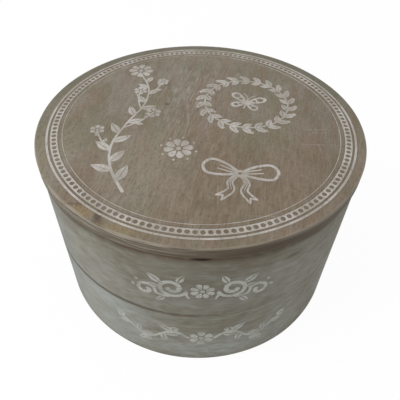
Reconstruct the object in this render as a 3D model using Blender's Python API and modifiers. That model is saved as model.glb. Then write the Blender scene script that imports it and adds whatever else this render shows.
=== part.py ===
"""Round rotating jewelry box: two trays and a lid that swivel about one hidden bolt.

Metres, +Z up. The origin is on the table under the middle of the box. The front faces -Y, and the
pivot bolt stands at the back, on the Y axis. Each tray is a bent plywood hoop with a floor set into
it, a solid block that the bolt runs through, thin dividers and felt pads. The bolt's flat head is
trapped between the lid's two sheets, and its lock nut sits in a counterbore under the lower tray.
"""

import math

import bpy
from mathutils import Vector

MM = 0.001

# Lid
LID_RADIUS = 110 * MM
LID_OVERHANG = 1 * MM
LID_SHEET = 3.85 * MM
LID_EDGE_ROUND = 0.7 * MM

# Trays
TRAY_HEIGHT = 59.6 * MM
TRAY_GAP = 1 * MM
HOOP_WALL = 5 * MM
HOOP_EDGE_ROUND = 0.8 * MM
HOOP_BUTT_GAP = 0.4 * MM
FLOOR_THICKNESS = 4 * MM
FLOOR_INSET = 2 * MM

# Pivot blocks
BLOCK_WIDTH = 44 * MM
BLOCK_DEPTH = 30 * MM
BLOCK_DROP = 1 * MM
BLOCK_CORNER = 5 * MM
PIVOT_TO_WALL = 14 * MM

# Pivot bolt and what is on it
BOLT_RADIUS = 3 * MM
BOLT_HEAD_RADIUS = 8.5 * MM
BOLT_HEAD_THICKNESS = 2 * MM
BOLT_TIP = 1 * MM
BOLT_CHAMFER = 0.7 * MM
SOCKET_FLATS = 4 * MM
SOCKET_DEPTH = 1.2 * MM
COUNTERBORE_DEPTH = 12.5 * MM
WASHER_RADIUS = 9 * MM
WASHER_THICKNESS = 1.6 * MM
WASHER_CHAMFER = 0.2 * MM
NUT_FLATS = 10 * MM
NUT_HEIGHT = 4.6 * MM
NUT_COLLAR_RADIUS = 4.3 * MM
NUT_COLLAR_HEIGHT = 1.4 * MM
SPACER_RADIUS = 10 * MM

# Wood screws through each floor into its block
SCREW_LENGTH = 16 * MM
SCREW_RADIUS = 1.6 * MM
SCREW_HEAD_RADIUS = 3.4 * MM
SCREW_POINT = 3 * MM
SCREW_FROM_BLOCK_SIDE = 6 * MM
SCREW_FROM_BLOCK_FRONT = 9 * MM
SCREW_SLOT_WIDTH = 0.9 * MM
SCREW_SLOT_DEPTH = 0.9 * MM
SCREW_SLOT_REACH = 2.1 * MM

# Dividers and felt
DIVIDER_THICKNESS = 3 * MM
DIVIDER_DROP = 8 * MM
UPPER_DIVIDER_Y = 0 * MM
LOWER_DIVIDER_Y = 20 * MM
FELT_THICKNESS = 1.5 * MM

# Clearances
SEAT_GAP = 0.3 * MM
BORE_CLEARANCE = 0.25 * MM
THREAD_CLEARANCE = 0.1 * MM
HEAD_CLEARANCE = 0.5 * MM
FELT_CLEARANCE = 0.5 * MM

# Fineness of round shapes
LARGE_STEPS = 96
SMALL_STEPS = 24
ARC_STEPS = 2
CHAMFER_STEPS = 1

# What follows from the sizes above
HOOP_RADIUS = LID_RADIUS - LID_OVERHANG
HOOP_BORE = HOOP_RADIUS - HOOP_WALL
FIT_RADIUS = HOOP_BORE - SEAT_GAP
PIVOT_Y = HOOP_BORE - PIVOT_TO_WALL
BLOCK_FRONT_Y = HOOP_BORE - BLOCK_DEPTH
LOWER_Z = 0.0
UPPER_Z = LOWER_Z + TRAY_HEIGHT + TRAY_GAP
LID_Z = UPPER_Z + TRAY_HEIGHT + TRAY_GAP
LID_TOP_SHEET_Z = LID_Z + LID_SHEET + SEAT_GAP
BOLT_BORE = BOLT_RADIUS + BORE_CLEARANCE
COUNTERBORE_RADIUS = WASHER_RADIUS + HEAD_CLEARANCE
SCREW_X = BLOCK_WIDTH / 2 - SCREW_FROM_BLOCK_SIDE
SCREW_Y = BLOCK_FRONT_Y + SCREW_FROM_BLOCK_FRONT
CUT_MARGIN = 5 * MM

# Finishes: colour, roughness and metallic value
STAINED_PLYWOOD = ((0.235, 0.190, 0.140), 0.75, 0.0)
WHITEWASHED_PLYWOOD = ((0.220, 0.215, 0.185), 0.80, 0.0)
RAW_PLYWOOD = ((0.480, 0.360, 0.230), 0.80, 0.0)
BLOCK_WOOD = ((0.420, 0.290, 0.170), 0.75, 0.0)
FELT = ((0.330, 0.280, 0.230), 1.0, 0.0)
ZINC_STEEL = ((0.550, 0.560, 0.580), 0.35, 1.0)
NYLON = ((0.720, 0.700, 0.640), 0.5, 0.0)


def clear_scene():
    for old in list(bpy.data.objects):
        bpy.data.objects.remove(old, do_unlink=True)


def new_collection(name):
    collection = bpy.data.collections.new(name)
    bpy.context.scene.collection.children.link(collection)
    return collection


def put_in(collection, obj):
    for other in list(obj.users_collection):
        other.objects.unlink(obj)
    collection.objects.link(obj)


def new_carrier(name, location):
    """An empty on a joint's axis, which carries the pieces of one moving group."""
    carrier = bpy.data.objects.new(name, None)
    carrier.location = location
    PARTS.objects.link(carrier)
    return carrier


def make_piece(obj, name, finish, carrier):
    """Names a shape, gives it its material and hangs it on its carrier where it stands."""
    obj.name = name
    obj.data.name = name
    put_in(PARTS, obj)
    colour, roughness, metallic = finish
    material = bpy.data.materials.new(name)
    material.use_nodes = True
    shader = material.node_tree.nodes["Principled BSDF"]
    shader.inputs["Base Color"].default_value = (*colour, 1.0)
    shader.inputs["Roughness"].default_value = roughness
    shader.inputs["Metallic"].default_value = metallic
    obj.data.materials.append(material)
    obj.parent = carrier
    obj.location = obj.location - carrier.location
    return obj


def make_cutter(obj, name):
    obj.name = name
    put_in(CUTTERS, obj)
    obj.hide_render = True
    obj.display_type = "WIRE"
    return obj


def smooth(obj):
    obj.data.shade_smooth()
    obj.data.set_sharp_from_angle(angle=math.radians(40))
    return obj


def apply_scale(obj):
    obj.data.transform(obj.matrix_basis.to_3x3().to_4x4())
    obj.scale = (1, 1, 1)
    return obj


def cylinder(radius, low, high, at=(0, 0), steps=LARGE_STEPS):
    middle = (at[0], at[1], (low + high) / 2)
    bpy.ops.mesh.primitive_cylinder_add(vertices=steps, radius=radius, depth=high - low, location=middle)
    return smooth(bpy.context.object)


def box(low, high):
    """A box between two corners, with its scale applied."""
    low, high = Vector(low), Vector(high)
    bpy.ops.mesh.primitive_cube_add(size=1, location=(low + high) / 2)
    obj = bpy.context.object
    obj.scale = high - low
    return apply_scale(obj)


def turned(profile, at=(0, 0), steps=SMALL_STEPS, closed=False):
    """A turned shape. The profile's (radius, height) points run down its outer side."""
    points = [(radius, 0, height) for radius, height in profile]
    edges = [(i, i + 1) for i in range(len(points) - 1)]
    if closed:
        edges.append((len(points) - 1, 0))
    mesh = bpy.data.meshes.new("turned")
    mesh.from_pydata(points, edges, [])
    obj = bpy.data.objects.new("turned", mesh)
    obj.location = (*at, 0)
    bpy.context.scene.collection.objects.link(obj)
    screw = obj.modifiers.new("turn", "SCREW")
    screw.steps = steps
    screw.render_steps = steps
    screw.use_merge_vertices = True
    screw.merge_threshold = 0.01 * MM
    evaluated = obj.evaluated_get(bpy.context.evaluated_depsgraph_get())
    obj.data = bpy.data.meshes.new_from_object(evaluated)
    obj.modifiers.clear()
    return smooth(obj)


def ring_profile(inner, outer, low, high, rounding, arc_steps):
    """A closed rectangle with rounded corners, running down its outer side first."""
    corners = [
        (outer - rounding, high - rounding, 90),
        (outer - rounding, low + rounding, 0),
        (inner + rounding, low + rounding, -90),
        (inner + rounding, high - rounding, -180),
    ]
    points = []
    for x, z, start in corners:
        for step in range(arc_steps + 1):
            angle = math.radians(start - 90 * step / arc_steps)
            points.append((x + rounding * math.cos(angle), z + rounding * math.sin(angle)))
    return points


def washer(outer, low, high, rounding):
    """A flat ring on the pivot bolt, with its corners chamfered."""
    profile = ring_profile(BOLT_BORE, outer, low, high, rounding, CHAMFER_STEPS)
    return turned(profile, (0, PIVOT_Y), closed=True)


def round_edges(obj, width, segments):
    bevel = obj.modifiers.new("rounded_edges", "BEVEL")
    bevel.width = width
    bevel.segments = segments
    bevel.limit_method = "ANGLE"
    bevel.angle_limit = math.radians(40)
    return obj


def boolean(obj, cutter, operation="DIFFERENCE"):
    modifier = obj.modifiers.new(cutter.name, "BOOLEAN")
    modifier.operation = operation
    modifier.object = cutter
    return obj


def bolt_cutter(name, radius, low, high):
    return make_cutter(cylinder(radius, low, high, (0, PIVOT_Y), SMALL_STEPS), name)


def build_hoop(name, base_z, carrier):
    """A strip of plywood bent into a hoop, with its two ends butted at the back."""
    top = base_z + TRAY_HEIGHT
    section = ring_profile(HOOP_BORE, HOOP_RADIUS, base_z, top, HOOP_EDGE_ROUND, ARC_STEPS)
    hoop = turned(section, steps=LARGE_STEPS, closed=True)
    make_piece(hoop, name, WHITEWASHED_PLYWOOD, carrier)
    slit = box(
        (-HOOP_BUTT_GAP / 2, HOOP_BORE - CUT_MARGIN, base_z - CUT_MARGIN),
        (HOOP_BUTT_GAP / 2, HOOP_RADIUS + CUT_MARGIN, top + CUT_MARGIN),
    )
    return boolean(hoop, make_cutter(slit, "cut_butt_joint_" + name))


def screw_profile(head_z):
    """A countersunk wood screw that points up, with its head's face at head_z."""
    cone = SCREW_HEAD_RADIUS - SCREW_RADIUS
    tip_z = head_z + SCREW_LENGTH
    return [
        (0, tip_z),
        (SCREW_RADIUS, tip_z - SCREW_POINT),
        (SCREW_RADIUS, head_z + cone),
        (SCREW_HEAD_RADIUS, head_z),
        (0, head_z),
    ]


def countersink_profile(under_z, head_z):
    """The hole for that screw: open below the floor, and wider all over by the clearance."""
    cone = SCREW_HEAD_RADIUS - SCREW_RADIUS
    wide = SCREW_HEAD_RADIUS + BORE_CLEARANCE
    narrow = SCREW_RADIUS + BORE_CLEARANCE
    top_z = head_z + SCREW_LENGTH + SEAT_GAP
    return [
        (0, top_z),
        (narrow, top_z),
        (narrow, head_z + cone),
        (wide, head_z),
        (wide, under_z - CUT_MARGIN),
        (0, under_z - CUT_MARGIN),
    ]


def build_screw(name, at, head_z, carrier):
    screw = turned(screw_profile(head_z), at)
    make_piece(screw, name, ZINC_STEEL, carrier)
    arms = [(SCREW_SLOT_REACH, SCREW_SLOT_WIDTH / 2), (SCREW_SLOT_WIDTH / 2, SCREW_SLOT_REACH)]
    for arm, (half_x, half_y) in enumerate(arms):
        slot = box(
            (at[0] - half_x, at[1] - half_y, head_z - CUT_MARGIN),
            (at[0] + half_x, at[1] + half_y, head_z + SCREW_SLOT_DEPTH),
        )
        boolean(screw, make_cutter(slot, f"cut_{name}_slot_{arm}"))
    return screw


def block_blank(grow, low, high):
    """The outline of a pivot block, wider all round by grow, as a box with rounded corners."""
    half = BLOCK_WIDTH / 2 + grow
    blank = box((-half, BLOCK_FRONT_Y - grow, low), (half, HOOP_RADIUS + CUT_MARGIN, high))
    corners = blank.modifiers.new("rounded_corners", "BEVEL")
    corners.width = BLOCK_CORNER
    corners.segments = 4
    corners.affect = "EDGES"
    corners.limit_method = "WEIGHT"
    weights = blank.data.attributes.new("bevel_weight_edge", "FLOAT", "EDGE")
    for edge in blank.data.edges:
        first, second = (blank.data.vertices[i].co for i in edge.vertices)
        upright = abs(first.z - second.z) > abs(first.x - second.x) + abs(first.y - second.y)
        weights.data[edge.index].value = 1.0 if upright and first.y < 0 else 0.0
    return blank


def build_tray(tray, base_z, carrier):
    """The hoop, floor, pivot block and screws that both trays have. Returns the floor and block."""
    build_hoop(tray + "_hoop", base_z, carrier)
    floor_z = base_z + FLOOR_INSET
    floor_top = floor_z + FLOOR_THICKNESS
    rim_z = base_z + TRAY_HEIGHT

    floor = cylinder(FIT_RADIUS, floor_z, floor_top)
    make_piece(floor, tray + "_floor", RAW_PLYWOOD, carrier)

    block = cylinder(FIT_RADIUS, floor_top + SEAT_GAP, rim_z - BLOCK_DROP)
    make_piece(block, tray + "_pivot_block", BLOCK_WOOD, carrier)
    blank = block_blank(0.0, base_z - CUT_MARGIN, rim_z + CUT_MARGIN)
    boolean(block, make_cutter(blank, "keep_" + block.name), "INTERSECT")

    bore = bolt_cutter(f"cut_{tray}_bolt_bore", BOLT_BORE, base_z - CUT_MARGIN, rim_z + CUT_MARGIN)
    boolean(floor, bore)
    boolean(block, bore)

    head_z = floor_z + SEAT_GAP
    for side, x in (("left", -SCREW_X), ("right", SCREW_X)):
        at = (x, SCREW_Y)
        build_screw(f"{tray}_screw_{side}", at, head_z, carrier)
        hole = turned(countersink_profile(floor_z, head_z), at)
        make_cutter(hole, f"cut_{tray}_screw_hole_{side}")
        boolean(floor, hole)
        boolean(block, hole)
    return floor, block


def divider_heights(base_z):
    """The lowest, the middle and the highest level of a divider in a tray."""
    low = base_z + FLOOR_INSET + FLOOR_THICKNESS + SEAT_GAP
    high = base_z + TRAY_HEIGHT - DIVIDER_DROP
    return low, (low + high) / 2, high


def chord_half(offset):
    """Half the length of a strip that runs from wall to wall at this distance from the middle."""
    return math.sqrt(FIT_RADIUS**2 - (abs(offset) + DIVIDER_THICKNESS / 2) ** 2)


def build_long_divider(name, base_z, y, carrier):
    low, _, high = divider_heights(base_z)
    half = chord_half(y)
    strip = box(
        (-half, y - DIVIDER_THICKNESS / 2, low),
        (half, y + DIVIDER_THICKNESS / 2, high),
    )
    return make_piece(strip, name, RAW_PLYWOOD, carrier)


def build_cross_divider(name, base_z, long_divider, long_y, carrier):
    """A strip from the front wall to the pivot block, halved over the long divider."""
    low, middle, high = divider_heights(base_z)
    strip = box(
        (-DIVIDER_THICKNESS / 2, -chord_half(0), low),
        (DIVIDER_THICKNESS / 2, BLOCK_FRONT_Y - SEAT_GAP, high),
    )
    make_piece(strip, name, RAW_PLYWOOD, carrier)
    slot_half = DIVIDER_THICKNESS / 2 + SEAT_GAP
    slot_low = box(
        (-slot_half, long_y - slot_half, low - CUT_MARGIN),
        (slot_half, long_y + slot_half, middle + SEAT_GAP / 2),
    )
    slot_high = box(
        (-slot_half, long_y - slot_half, middle - SEAT_GAP / 2),
        (slot_half, long_y + slot_half, high + CUT_MARGIN),
    )
    boolean(strip, make_cutter(slot_low, "cut_" + name))
    boolean(long_divider, make_cutter(slot_high, "cut_" + long_divider.name))
    return strip


def build_felt(name, base_z, low_corner, high_corner, carrier):
    """A felt pad: the tray's round floor between two corners, clear of the pivot block."""
    low = base_z + FLOOR_INSET + FLOOR_THICKNESS + SEAT_GAP
    high = low + FELT_THICKNESS
    pad = cylinder(HOOP_BORE - FELT_CLEARANCE, low, high)
    make_piece(pad, name, FELT, carrier)
    region = box((*low_corner, low - CUT_MARGIN), (*high_corner, high + CUT_MARGIN))
    boolean(pad, make_cutter(region, "keep_" + name), "INTERSECT")
    if high_corner[1] > BLOCK_FRONT_Y:
        notch = block_blank(FELT_CLEARANCE, low - CUT_MARGIN, high + CUT_MARGIN)
        boolean(pad, make_cutter(notch, "cut_" + name))
    return pad


def build_lower_tray(carrier):
    floor, block = build_tray("lower", LOWER_Z, carrier)
    counterbore = bolt_cutter(
        "cut_counterbore",
        COUNTERBORE_RADIUS,
        LOWER_Z - CUT_MARGIN,
        LOWER_Z + FLOOR_INSET + COUNTERBORE_DEPTH,
    )
    boolean(floor, counterbore)
    boolean(block, counterbore)

    build_long_divider("lower_divider", LOWER_Z, LOWER_DIVIDER_Y, carrier)
    edge = DIVIDER_THICKNESS / 2 + FELT_CLEARANCE
    far = HOOP_RADIUS
    build_felt("lower_felt_front", LOWER_Z, (-far, -far), (far, LOWER_DIVIDER_Y - edge), carrier)
    build_felt("lower_felt_back", LOWER_Z, (-far, LOWER_DIVIDER_Y + edge), (far, far), carrier)


def build_upper_tray(carrier):
    build_tray("upper", UPPER_Z, carrier)
    long_divider = build_long_divider("upper_divider_long", UPPER_Z, UPPER_DIVIDER_Y, carrier)
    build_cross_divider("upper_divider_cross", UPPER_Z, long_divider, UPPER_DIVIDER_Y, carrier)
    edge = DIVIDER_THICKNESS / 2 + FELT_CLEARANCE
    far = HOOP_RADIUS
    for side, (x_low, x_high) in (("left", (-far, -edge)), ("right", (edge, far))):
        front_high = UPPER_DIVIDER_Y - edge
        back_low = UPPER_DIVIDER_Y + edge
        build_felt(f"upper_felt_front_{side}", UPPER_Z, (x_low, -far), (x_high, front_high), carrier)
        build_felt(f"upper_felt_back_{side}", UPPER_Z, (x_low, back_low), (x_high, far), carrier)


def build_lid(carrier):
    under = cylinder(LID_RADIUS, LID_Z, LID_Z + LID_SHEET)
    make_piece(under, "lid_under_panel", STAINED_PLYWOOD, carrier)
    round_edges(under, LID_EDGE_ROUND, ARC_STEPS)
    bore = bolt_cutter("cut_lid_bolt_bore", BOLT_BORE, LID_Z - CUT_MARGIN, LID_TOP_SHEET_Z)
    boolean(under, bore)

    top = cylinder(LID_RADIUS, LID_TOP_SHEET_Z, LID_TOP_SHEET_Z + LID_SHEET)
    make_piece(top, "lid_top_panel", STAINED_PLYWOOD, carrier)
    round_edges(top, LID_EDGE_ROUND, ARC_STEPS)
    pocket = bolt_cutter(
        "cut_bolt_head_pocket",
        BOLT_HEAD_RADIUS + HEAD_CLEARANCE,
        LID_TOP_SHEET_Z - CUT_MARGIN,
        LID_TOP_SHEET_Z + BOLT_HEAD_THICKNESS + SEAT_GAP,
    )
    boolean(top, pocket)


def build_bolt(carrier):
    """The bolt, its washer and its lock nut, which stay with the lower tray."""
    at = (0, PIVOT_Y)
    washer_top = LOWER_Z + FLOOR_INSET + COUNTERBORE_DEPTH - SEAT_GAP
    washer_low = washer_top - WASHER_THICKNESS
    nut_top = washer_low - SEAT_GAP
    collar_top = nut_top - NUT_HEIGHT
    nut_low = collar_top - NUT_COLLAR_HEIGHT
    head_low = LID_TOP_SHEET_Z
    head_top = head_low + BOLT_HEAD_THICKNESS
    end_z = nut_low - BOLT_TIP
    profile = [
        (0, head_top),
        (BOLT_HEAD_RADIUS - BOLT_CHAMFER, head_top),
        (BOLT_HEAD_RADIUS, head_top - BOLT_CHAMFER),
        (BOLT_HEAD_RADIUS, head_low),
        (BOLT_RADIUS, head_low),
        (BOLT_RADIUS, end_z + BOLT_CHAMFER),
        (BOLT_RADIUS - BOLT_CHAMFER, end_z),
        (0, end_z),
    ]
    bolt = turned(profile, at)
    make_piece(bolt, "pivot_bolt", ZINC_STEEL, carrier)
    socket_radius = SOCKET_FLATS / math.sqrt(3)
    socket = cylinder(socket_radius, head_top - SOCKET_DEPTH, head_top + CUT_MARGIN, at, steps=6)
    boolean(bolt, make_cutter(socket, "cut_hex_socket"))

    steel_ring = washer(WASHER_RADIUS, washer_low, washer_top, WASHER_CHAMFER)
    make_piece(steel_ring, "bolt_washer", ZINC_STEEL, carrier)

    nut = cylinder(NUT_FLATS / math.sqrt(3), collar_top, nut_top, at, steps=6)
    make_piece(nut, "lock_nut", ZINC_STEEL, carrier)
    collar = bolt_cutter("join_nut_collar", NUT_COLLAR_RADIUS, nut_low, nut_top - NUT_HEIGHT / 2)
    boolean(nut, collar, "UNION")
    thread_bore = BOLT_RADIUS + THREAD_CLEARANCE
    boolean(nut, bolt_cutter("cut_nut_thread", thread_bore, nut_low - CUT_MARGIN, nut_top + CUT_MARGIN))


def build_spacer(name, low, high, carrier):
    """A nylon washer that fills the space between two levels, with a small gap at each face."""
    spacer = washer(SPACER_RADIUS, low + SEAT_GAP, high - SEAT_GAP, WASHER_CHAMFER)
    return make_piece(spacer, name, NYLON, carrier)


clear_scene()
PARTS = new_collection("rotating_jewelry_box")
CUTTERS = new_collection("cutters")

base = new_carrier("base_carrier", (0, 0, 0))
upper_tray = new_carrier("upper_tray_carrier", (0, PIVOT_Y, UPPER_Z))
lid = new_carrier("lid_carrier", (0, PIVOT_Y, LID_Z))

build_lower_tray(base)
build_bolt(base)
build_spacer("tray_spacer", UPPER_Z - TRAY_GAP - BLOCK_DROP, UPPER_Z + FLOOR_INSET, base)
build_upper_tray(upper_tray)
build_spacer("lid_spacer", LID_Z - TRAY_GAP - BLOCK_DROP, LID_Z, upper_tray)
build_lid(lid)
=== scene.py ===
# %% [markdown]
# # Dressing a rotating jewelry box
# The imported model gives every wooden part, bolt and pad at its real size. This lesson keeps those
# sizes and adds what the eye looks for: stained and whitewashed plywood, a printed border of small
# rings, white ornament, felt lined trays and plated steel. Every length below is a real one.

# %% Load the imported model
import math

import bmesh
import bpy
from mathutils import Matrix, Vector, noise
from mathutils.geometry import delaunay_2d_cdt


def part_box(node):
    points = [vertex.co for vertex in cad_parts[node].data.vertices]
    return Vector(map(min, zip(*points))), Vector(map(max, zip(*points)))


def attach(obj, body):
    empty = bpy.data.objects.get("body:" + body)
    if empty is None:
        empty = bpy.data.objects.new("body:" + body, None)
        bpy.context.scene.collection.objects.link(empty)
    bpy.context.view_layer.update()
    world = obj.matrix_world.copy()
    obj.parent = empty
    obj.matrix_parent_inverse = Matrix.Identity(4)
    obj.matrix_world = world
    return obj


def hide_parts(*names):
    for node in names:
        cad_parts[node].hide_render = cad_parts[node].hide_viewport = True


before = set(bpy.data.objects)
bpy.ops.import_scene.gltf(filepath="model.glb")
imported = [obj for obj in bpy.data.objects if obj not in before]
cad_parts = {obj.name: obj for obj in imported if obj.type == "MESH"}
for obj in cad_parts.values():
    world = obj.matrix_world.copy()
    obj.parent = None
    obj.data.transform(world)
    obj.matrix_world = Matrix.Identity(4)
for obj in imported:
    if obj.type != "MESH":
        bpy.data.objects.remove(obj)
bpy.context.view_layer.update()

# %% [markdown]
# ## Sizes that come from the model
# Nothing here is typed twice. The lid's radius, the walls' radii and every level are read from the
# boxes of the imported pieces, so the looks stay on the parts if the parts change.

# %% Read the levels and radii
MM = 0.001


def corners(node):
    """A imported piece's lowest and highest corner, in millimetres."""
    low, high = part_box(node)
    return low / MM, high / MM


lid_top_low, lid_top_high = corners("lid_top_panel")
lid_under_low, lid_under_high = corners("lid_under_panel")
LID_RADIUS = lid_top_high.x
LID_TOP = lid_top_high.z
HOOPS = {name: corners(name) for name in ("upper_hoop", "lower_hoop")}
WALL_RADIUS = HOOPS["upper_hoop"][1].x
SEAT_GAP = lid_top_low.z - lid_under_high.z
HOOP_BORE = corners("upper_floor")[1].x + SEAT_GAP
bolt_low, bolt_high = corners("pivot_bolt")
PIVOT_Y = (bolt_low.y + bolt_high.y) / 2
BOLT_HEAD_RADIUS = bolt_high.x
print(f"lid {2 * LID_RADIUS:.1f} mm across, top at {LID_TOP:.1f} mm, wall radius {WALL_RADIUS:.1f} mm")

# %% [markdown]
# ## The camera
# The photograph was taken from close by, so the near rim looks much larger than the far one. These
# values are the ones that lay the lid, the seam and the base on the photograph: about 30 cm from the
# lid's middle, 35 degrees above it, aimed a little below it and tilted by less than 2 degrees.

# %% Place the camera
CAMERA_DISTANCE = 299.4
CAMERA_HEIGHT_ANGLE = math.radians(35.5)
CAMERA_PITCH = math.radians(45.87)
CAMERA_YAW = math.radians(0.16)
CAMERA_ROLL = math.radians(1.75)
CAMERA_LENS = 38.8
SENSOR_WIDTH = 36.0
NEAREST_SEEN = 10.0

camera = bpy.data.objects.new("camera", bpy.data.cameras.new("camera"))
bpy.context.scene.collection.objects.link(camera)
camera.data.sensor_width = SENSOR_WIDTH
camera.data.lens = CAMERA_LENS
camera.data.clip_start = NEAREST_SEEN * MM
eye = Vector((0, -math.cos(CAMERA_HEIGHT_ANGLE), math.sin(CAMERA_HEIGHT_ANGLE))) * CAMERA_DISTANCE
camera.matrix_world = (
    Matrix.Translation((eye + Vector((0, 0, LID_TOP))) * MM)
    @ Matrix.Rotation(-CAMERA_YAW, 4, "Z")
    @ Matrix.Rotation(math.radians(90) - CAMERA_PITCH, 4, "X")
    @ Matrix.Rotation(CAMERA_ROLL, 4, "Z")
)
bpy.context.scene.camera = camera
print("camera", [round(x, 3) for x in camera.location])

# %% [markdown]
# ## A few helpers for materials
# A material is a small network of nodes. One function adds a node, with its settings, and links or
# values for its sockets. Colours are written as the sRGB hex values that a designer reads off a
# sample, and one function turns them into the linear values that Blender computes with.

# %% Colours


def colour(hex_value):
    """An sRGB hex colour as linear red, green, blue and alpha."""
    parts = [int(hex_value[i : i + 2], 16) / 255 for i in (1, 3, 5)]
    linear = [c / 12.92 if c <= 0.04045 else ((c + 0.055) / 1.055) ** 2.4 for c in parts]
    return (*linear, 1.0)


print("mid grey is", round(colour("#808080")[0], 3))

# %% Nodes and materials


def add_node(tree, kind, settings=None, links=None):
    """Adds a node. A link's value is a number, a hex colour, another node or one of its outputs."""
    made = tree.nodes.new("ShaderNode" + kind)
    for name, value in (settings or {}).items():
        setattr(made, name, value)
    for key, value in (links or {}).items():
        if isinstance(key, int):
            socket = made.inputs[key]
        else:
            socket = next(s for s in made.inputs if s.name == key and s.enabled)
        if isinstance(value, bpy.types.Node):
            value = next(s for s in value.outputs if s.enabled)
        if isinstance(value, bpy.types.NodeSocket):
            tree.links.new(value, socket)
        else:
            socket.default_value = colour(value) if isinstance(value, str) else value
    return made


def new_material(name, roughness, metallic=0.0, **sockets):
    """A material with one Principled shader. Constant values sit on the shader's own sockets."""
    material = bpy.data.materials.new(name)
    material.use_nodes = True
    shader = material.node_tree.nodes["Principled BSDF"]
    for socket, value in {"Roughness": roughness, "Metallic": metallic, **sockets}.items():
        shader.inputs[socket].default_value = value
    return material, material.node_tree


def coat(tree, face, relief, depth):
    """Gives the shader its colour, and a relief this many millimetres deep."""
    shader = tree.nodes["Principled BSDF"]
    bump = add_node(tree, "Bump", {}, {"Height": relief, "Strength": 1.0, "Distance": depth * MM})
    tree.links.new(face, shader.inputs["Base Color"])
    tree.links.new(bump.outputs["Normal"], shader.inputs["Normal"])


def millimetres(tree):
    """The object's own coordinates in millimetres, so that a pattern's size is a real size."""
    place = add_node(tree, "TexCoord").outputs["Object"]
    return add_node(tree, "VectorMath", {"operation": "SCALE"}, {0: place, "Scale": 1 / MM})


print("every material has one", bpy.types.ShaderNodeBsdfPrincipled.bl_rna.name, "shader")

# %% [markdown]
# ## Masks
# A mask is a number from 0 to 1 that says where a colour shows. It comes from anything that varies
# over the surface, such as a height or a noise, by saying at which value it is nothing and at which
# it is full. Masks are multiplied to narrow them, and stretched to make a strength that varies.

# %% Masks and colours over each other


def mask(tree, value, none, full, amount=1.0):
    """0 where the value is at none, amount where it is at full, and smooth between and flat past them."""
    links = {"Value": value, "From Min": none, "From Max": full, "To Min": 0.0, "To Max": amount}
    return add_node(tree, "MapRange", {"interpolation_type": "SMOOTHSTEP"}, links)


def weigh(tree, shown, amount):
    """A mask times a strength or another mask."""
    return add_node(tree, "Math", {"operation": "MULTIPLY"}, {0: shown, 1: amount})


def stretch(tree, shown, low, high):
    """A mask stretched to run from low, where it was 0, to high."""
    return add_node(tree, "Math", {"operation": "MULTIPLY_ADD"}, {0: shown, 1: high - low, 2: low})


def above(tree, value, level):
    """How far a value lies above a level."""
    return add_node(tree, "Math", {"operation": "SUBTRACT"}, {0: value, 1: level})


def beside(tree, value, level):
    """How far a value lies from a level, on either side."""
    return add_node(tree, "Math", {"operation": "ABSOLUTE"}, {0: above(tree, value, level)})


def over(tree, base, top, amount):
    """Lays a second colour over the first by an amount from 0 to 1."""
    mix = add_node(tree, "Mix", {"data_type": "RGBA"}, {"Factor": amount, "A": base, "B": top})
    return next(s for s in mix.outputs if s.enabled)


print("masks are", bpy.types.ShaderNodeMapRange.bl_rna.name, "nodes with a smooth step")

# %% [markdown]
# ## Wood grain from real sizes
# Wood is a bundle of long fibres, so its pattern is noise that is short across the grain and long
# along it. Everything below works in places whose X runs across the grain and whose Y runs along it.
# On the flat lid these are the lid's own X and Y, turned a little. On the bent walls, X is the height
# and Y is the length round the hoop, because the strip was cut along the grain and bent.
#
# A finish is a table of such marks, laid over each other from the widest to the finest. Noise lies
# mostly between 0.3 and 0.7, so marks that start at 0.42 and are full at 0.58 cover half the face.

# %% Streaks, spots and places


def streaks(tree, place, across, along, detail=3.0):
    """Noise whose marks are this many millimetres across and along the grain."""
    scale = (1 / across, 1 / along, 1 / across)
    squeezed = add_node(tree, "VectorMath", {"operation": "MULTIPLY"}, {0: place, 1: scale})
    return add_node(tree, "TexNoise", {}, {"Vector": squeezed, "Scale": 1.0, "Detail": detail})


def turned(tree, place, angle):
    """A place turned about the upright axis, so that its marks run another way."""
    links = {"Vector": place, "Angle": angle}
    return add_node(tree, "VectorRotate", {"rotation_type": "Z_AXIS"}, links)


def distance_from(tree, place, middle, half_size=(1, 1)):
    """How far a place lies from an upright line, in millimetres or in half sizes of an ellipse."""
    moved = add_node(tree, "VectorMath", {"operation": "SUBTRACT"}, {0: place, 1: (*middle, 0)})
    share = (1 / half_size[0], 1 / half_size[1], 0)
    scaled = add_node(tree, "VectorMath", {"operation": "MULTIPLY"}, {0: moved, 1: share})
    return add_node(tree, "VectorMath", {"operation": "LENGTH"}, {0: scaled}).outputs["Value"]


def spot(tree, place, middle, half_size, edge):
    """1 inside an upright ellipse, falling to 0 round it."""
    return mask(tree, distance_from(tree, place, middle, half_size), 1 + edge, 1 - edge)


def round_place(tree, mm):
    """(height, length round the wall) as a place, with its height, that length and its radius."""
    parts = add_node(tree, "SeparateXYZ", {}, {"Vector": mm}).outputs
    links = {0: parts["X"], 1: weigh(tree, parts["Y"], -1.0)}
    arc = weigh(tree, add_node(tree, "Math", {"operation": "ARCTAN2"}, links), WALL_RADIUS)
    radius = distance_from(tree, mm, (0, 0))
    place = add_node(tree, "CombineXYZ", {}, {"X": parts["Z"], "Y": arc, "Z": radius})
    return place, parts["Z"], arc, radius


print(f"one turn round the wall is {2 * math.pi * WALL_RADIUS:.0f} mm of strip")

# %% [markdown]
# ## Tables of marks and patches
# Marks lie all over a surface and come from noise. Patches lie where the photograph shows them, and
# are given one by one. They could be painted on an image, but that would need the shapes unwrapped and
# would blur close up. So both are rows of a table, and one function lays each table over a face.

# %% Lay a table over a face


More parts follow.
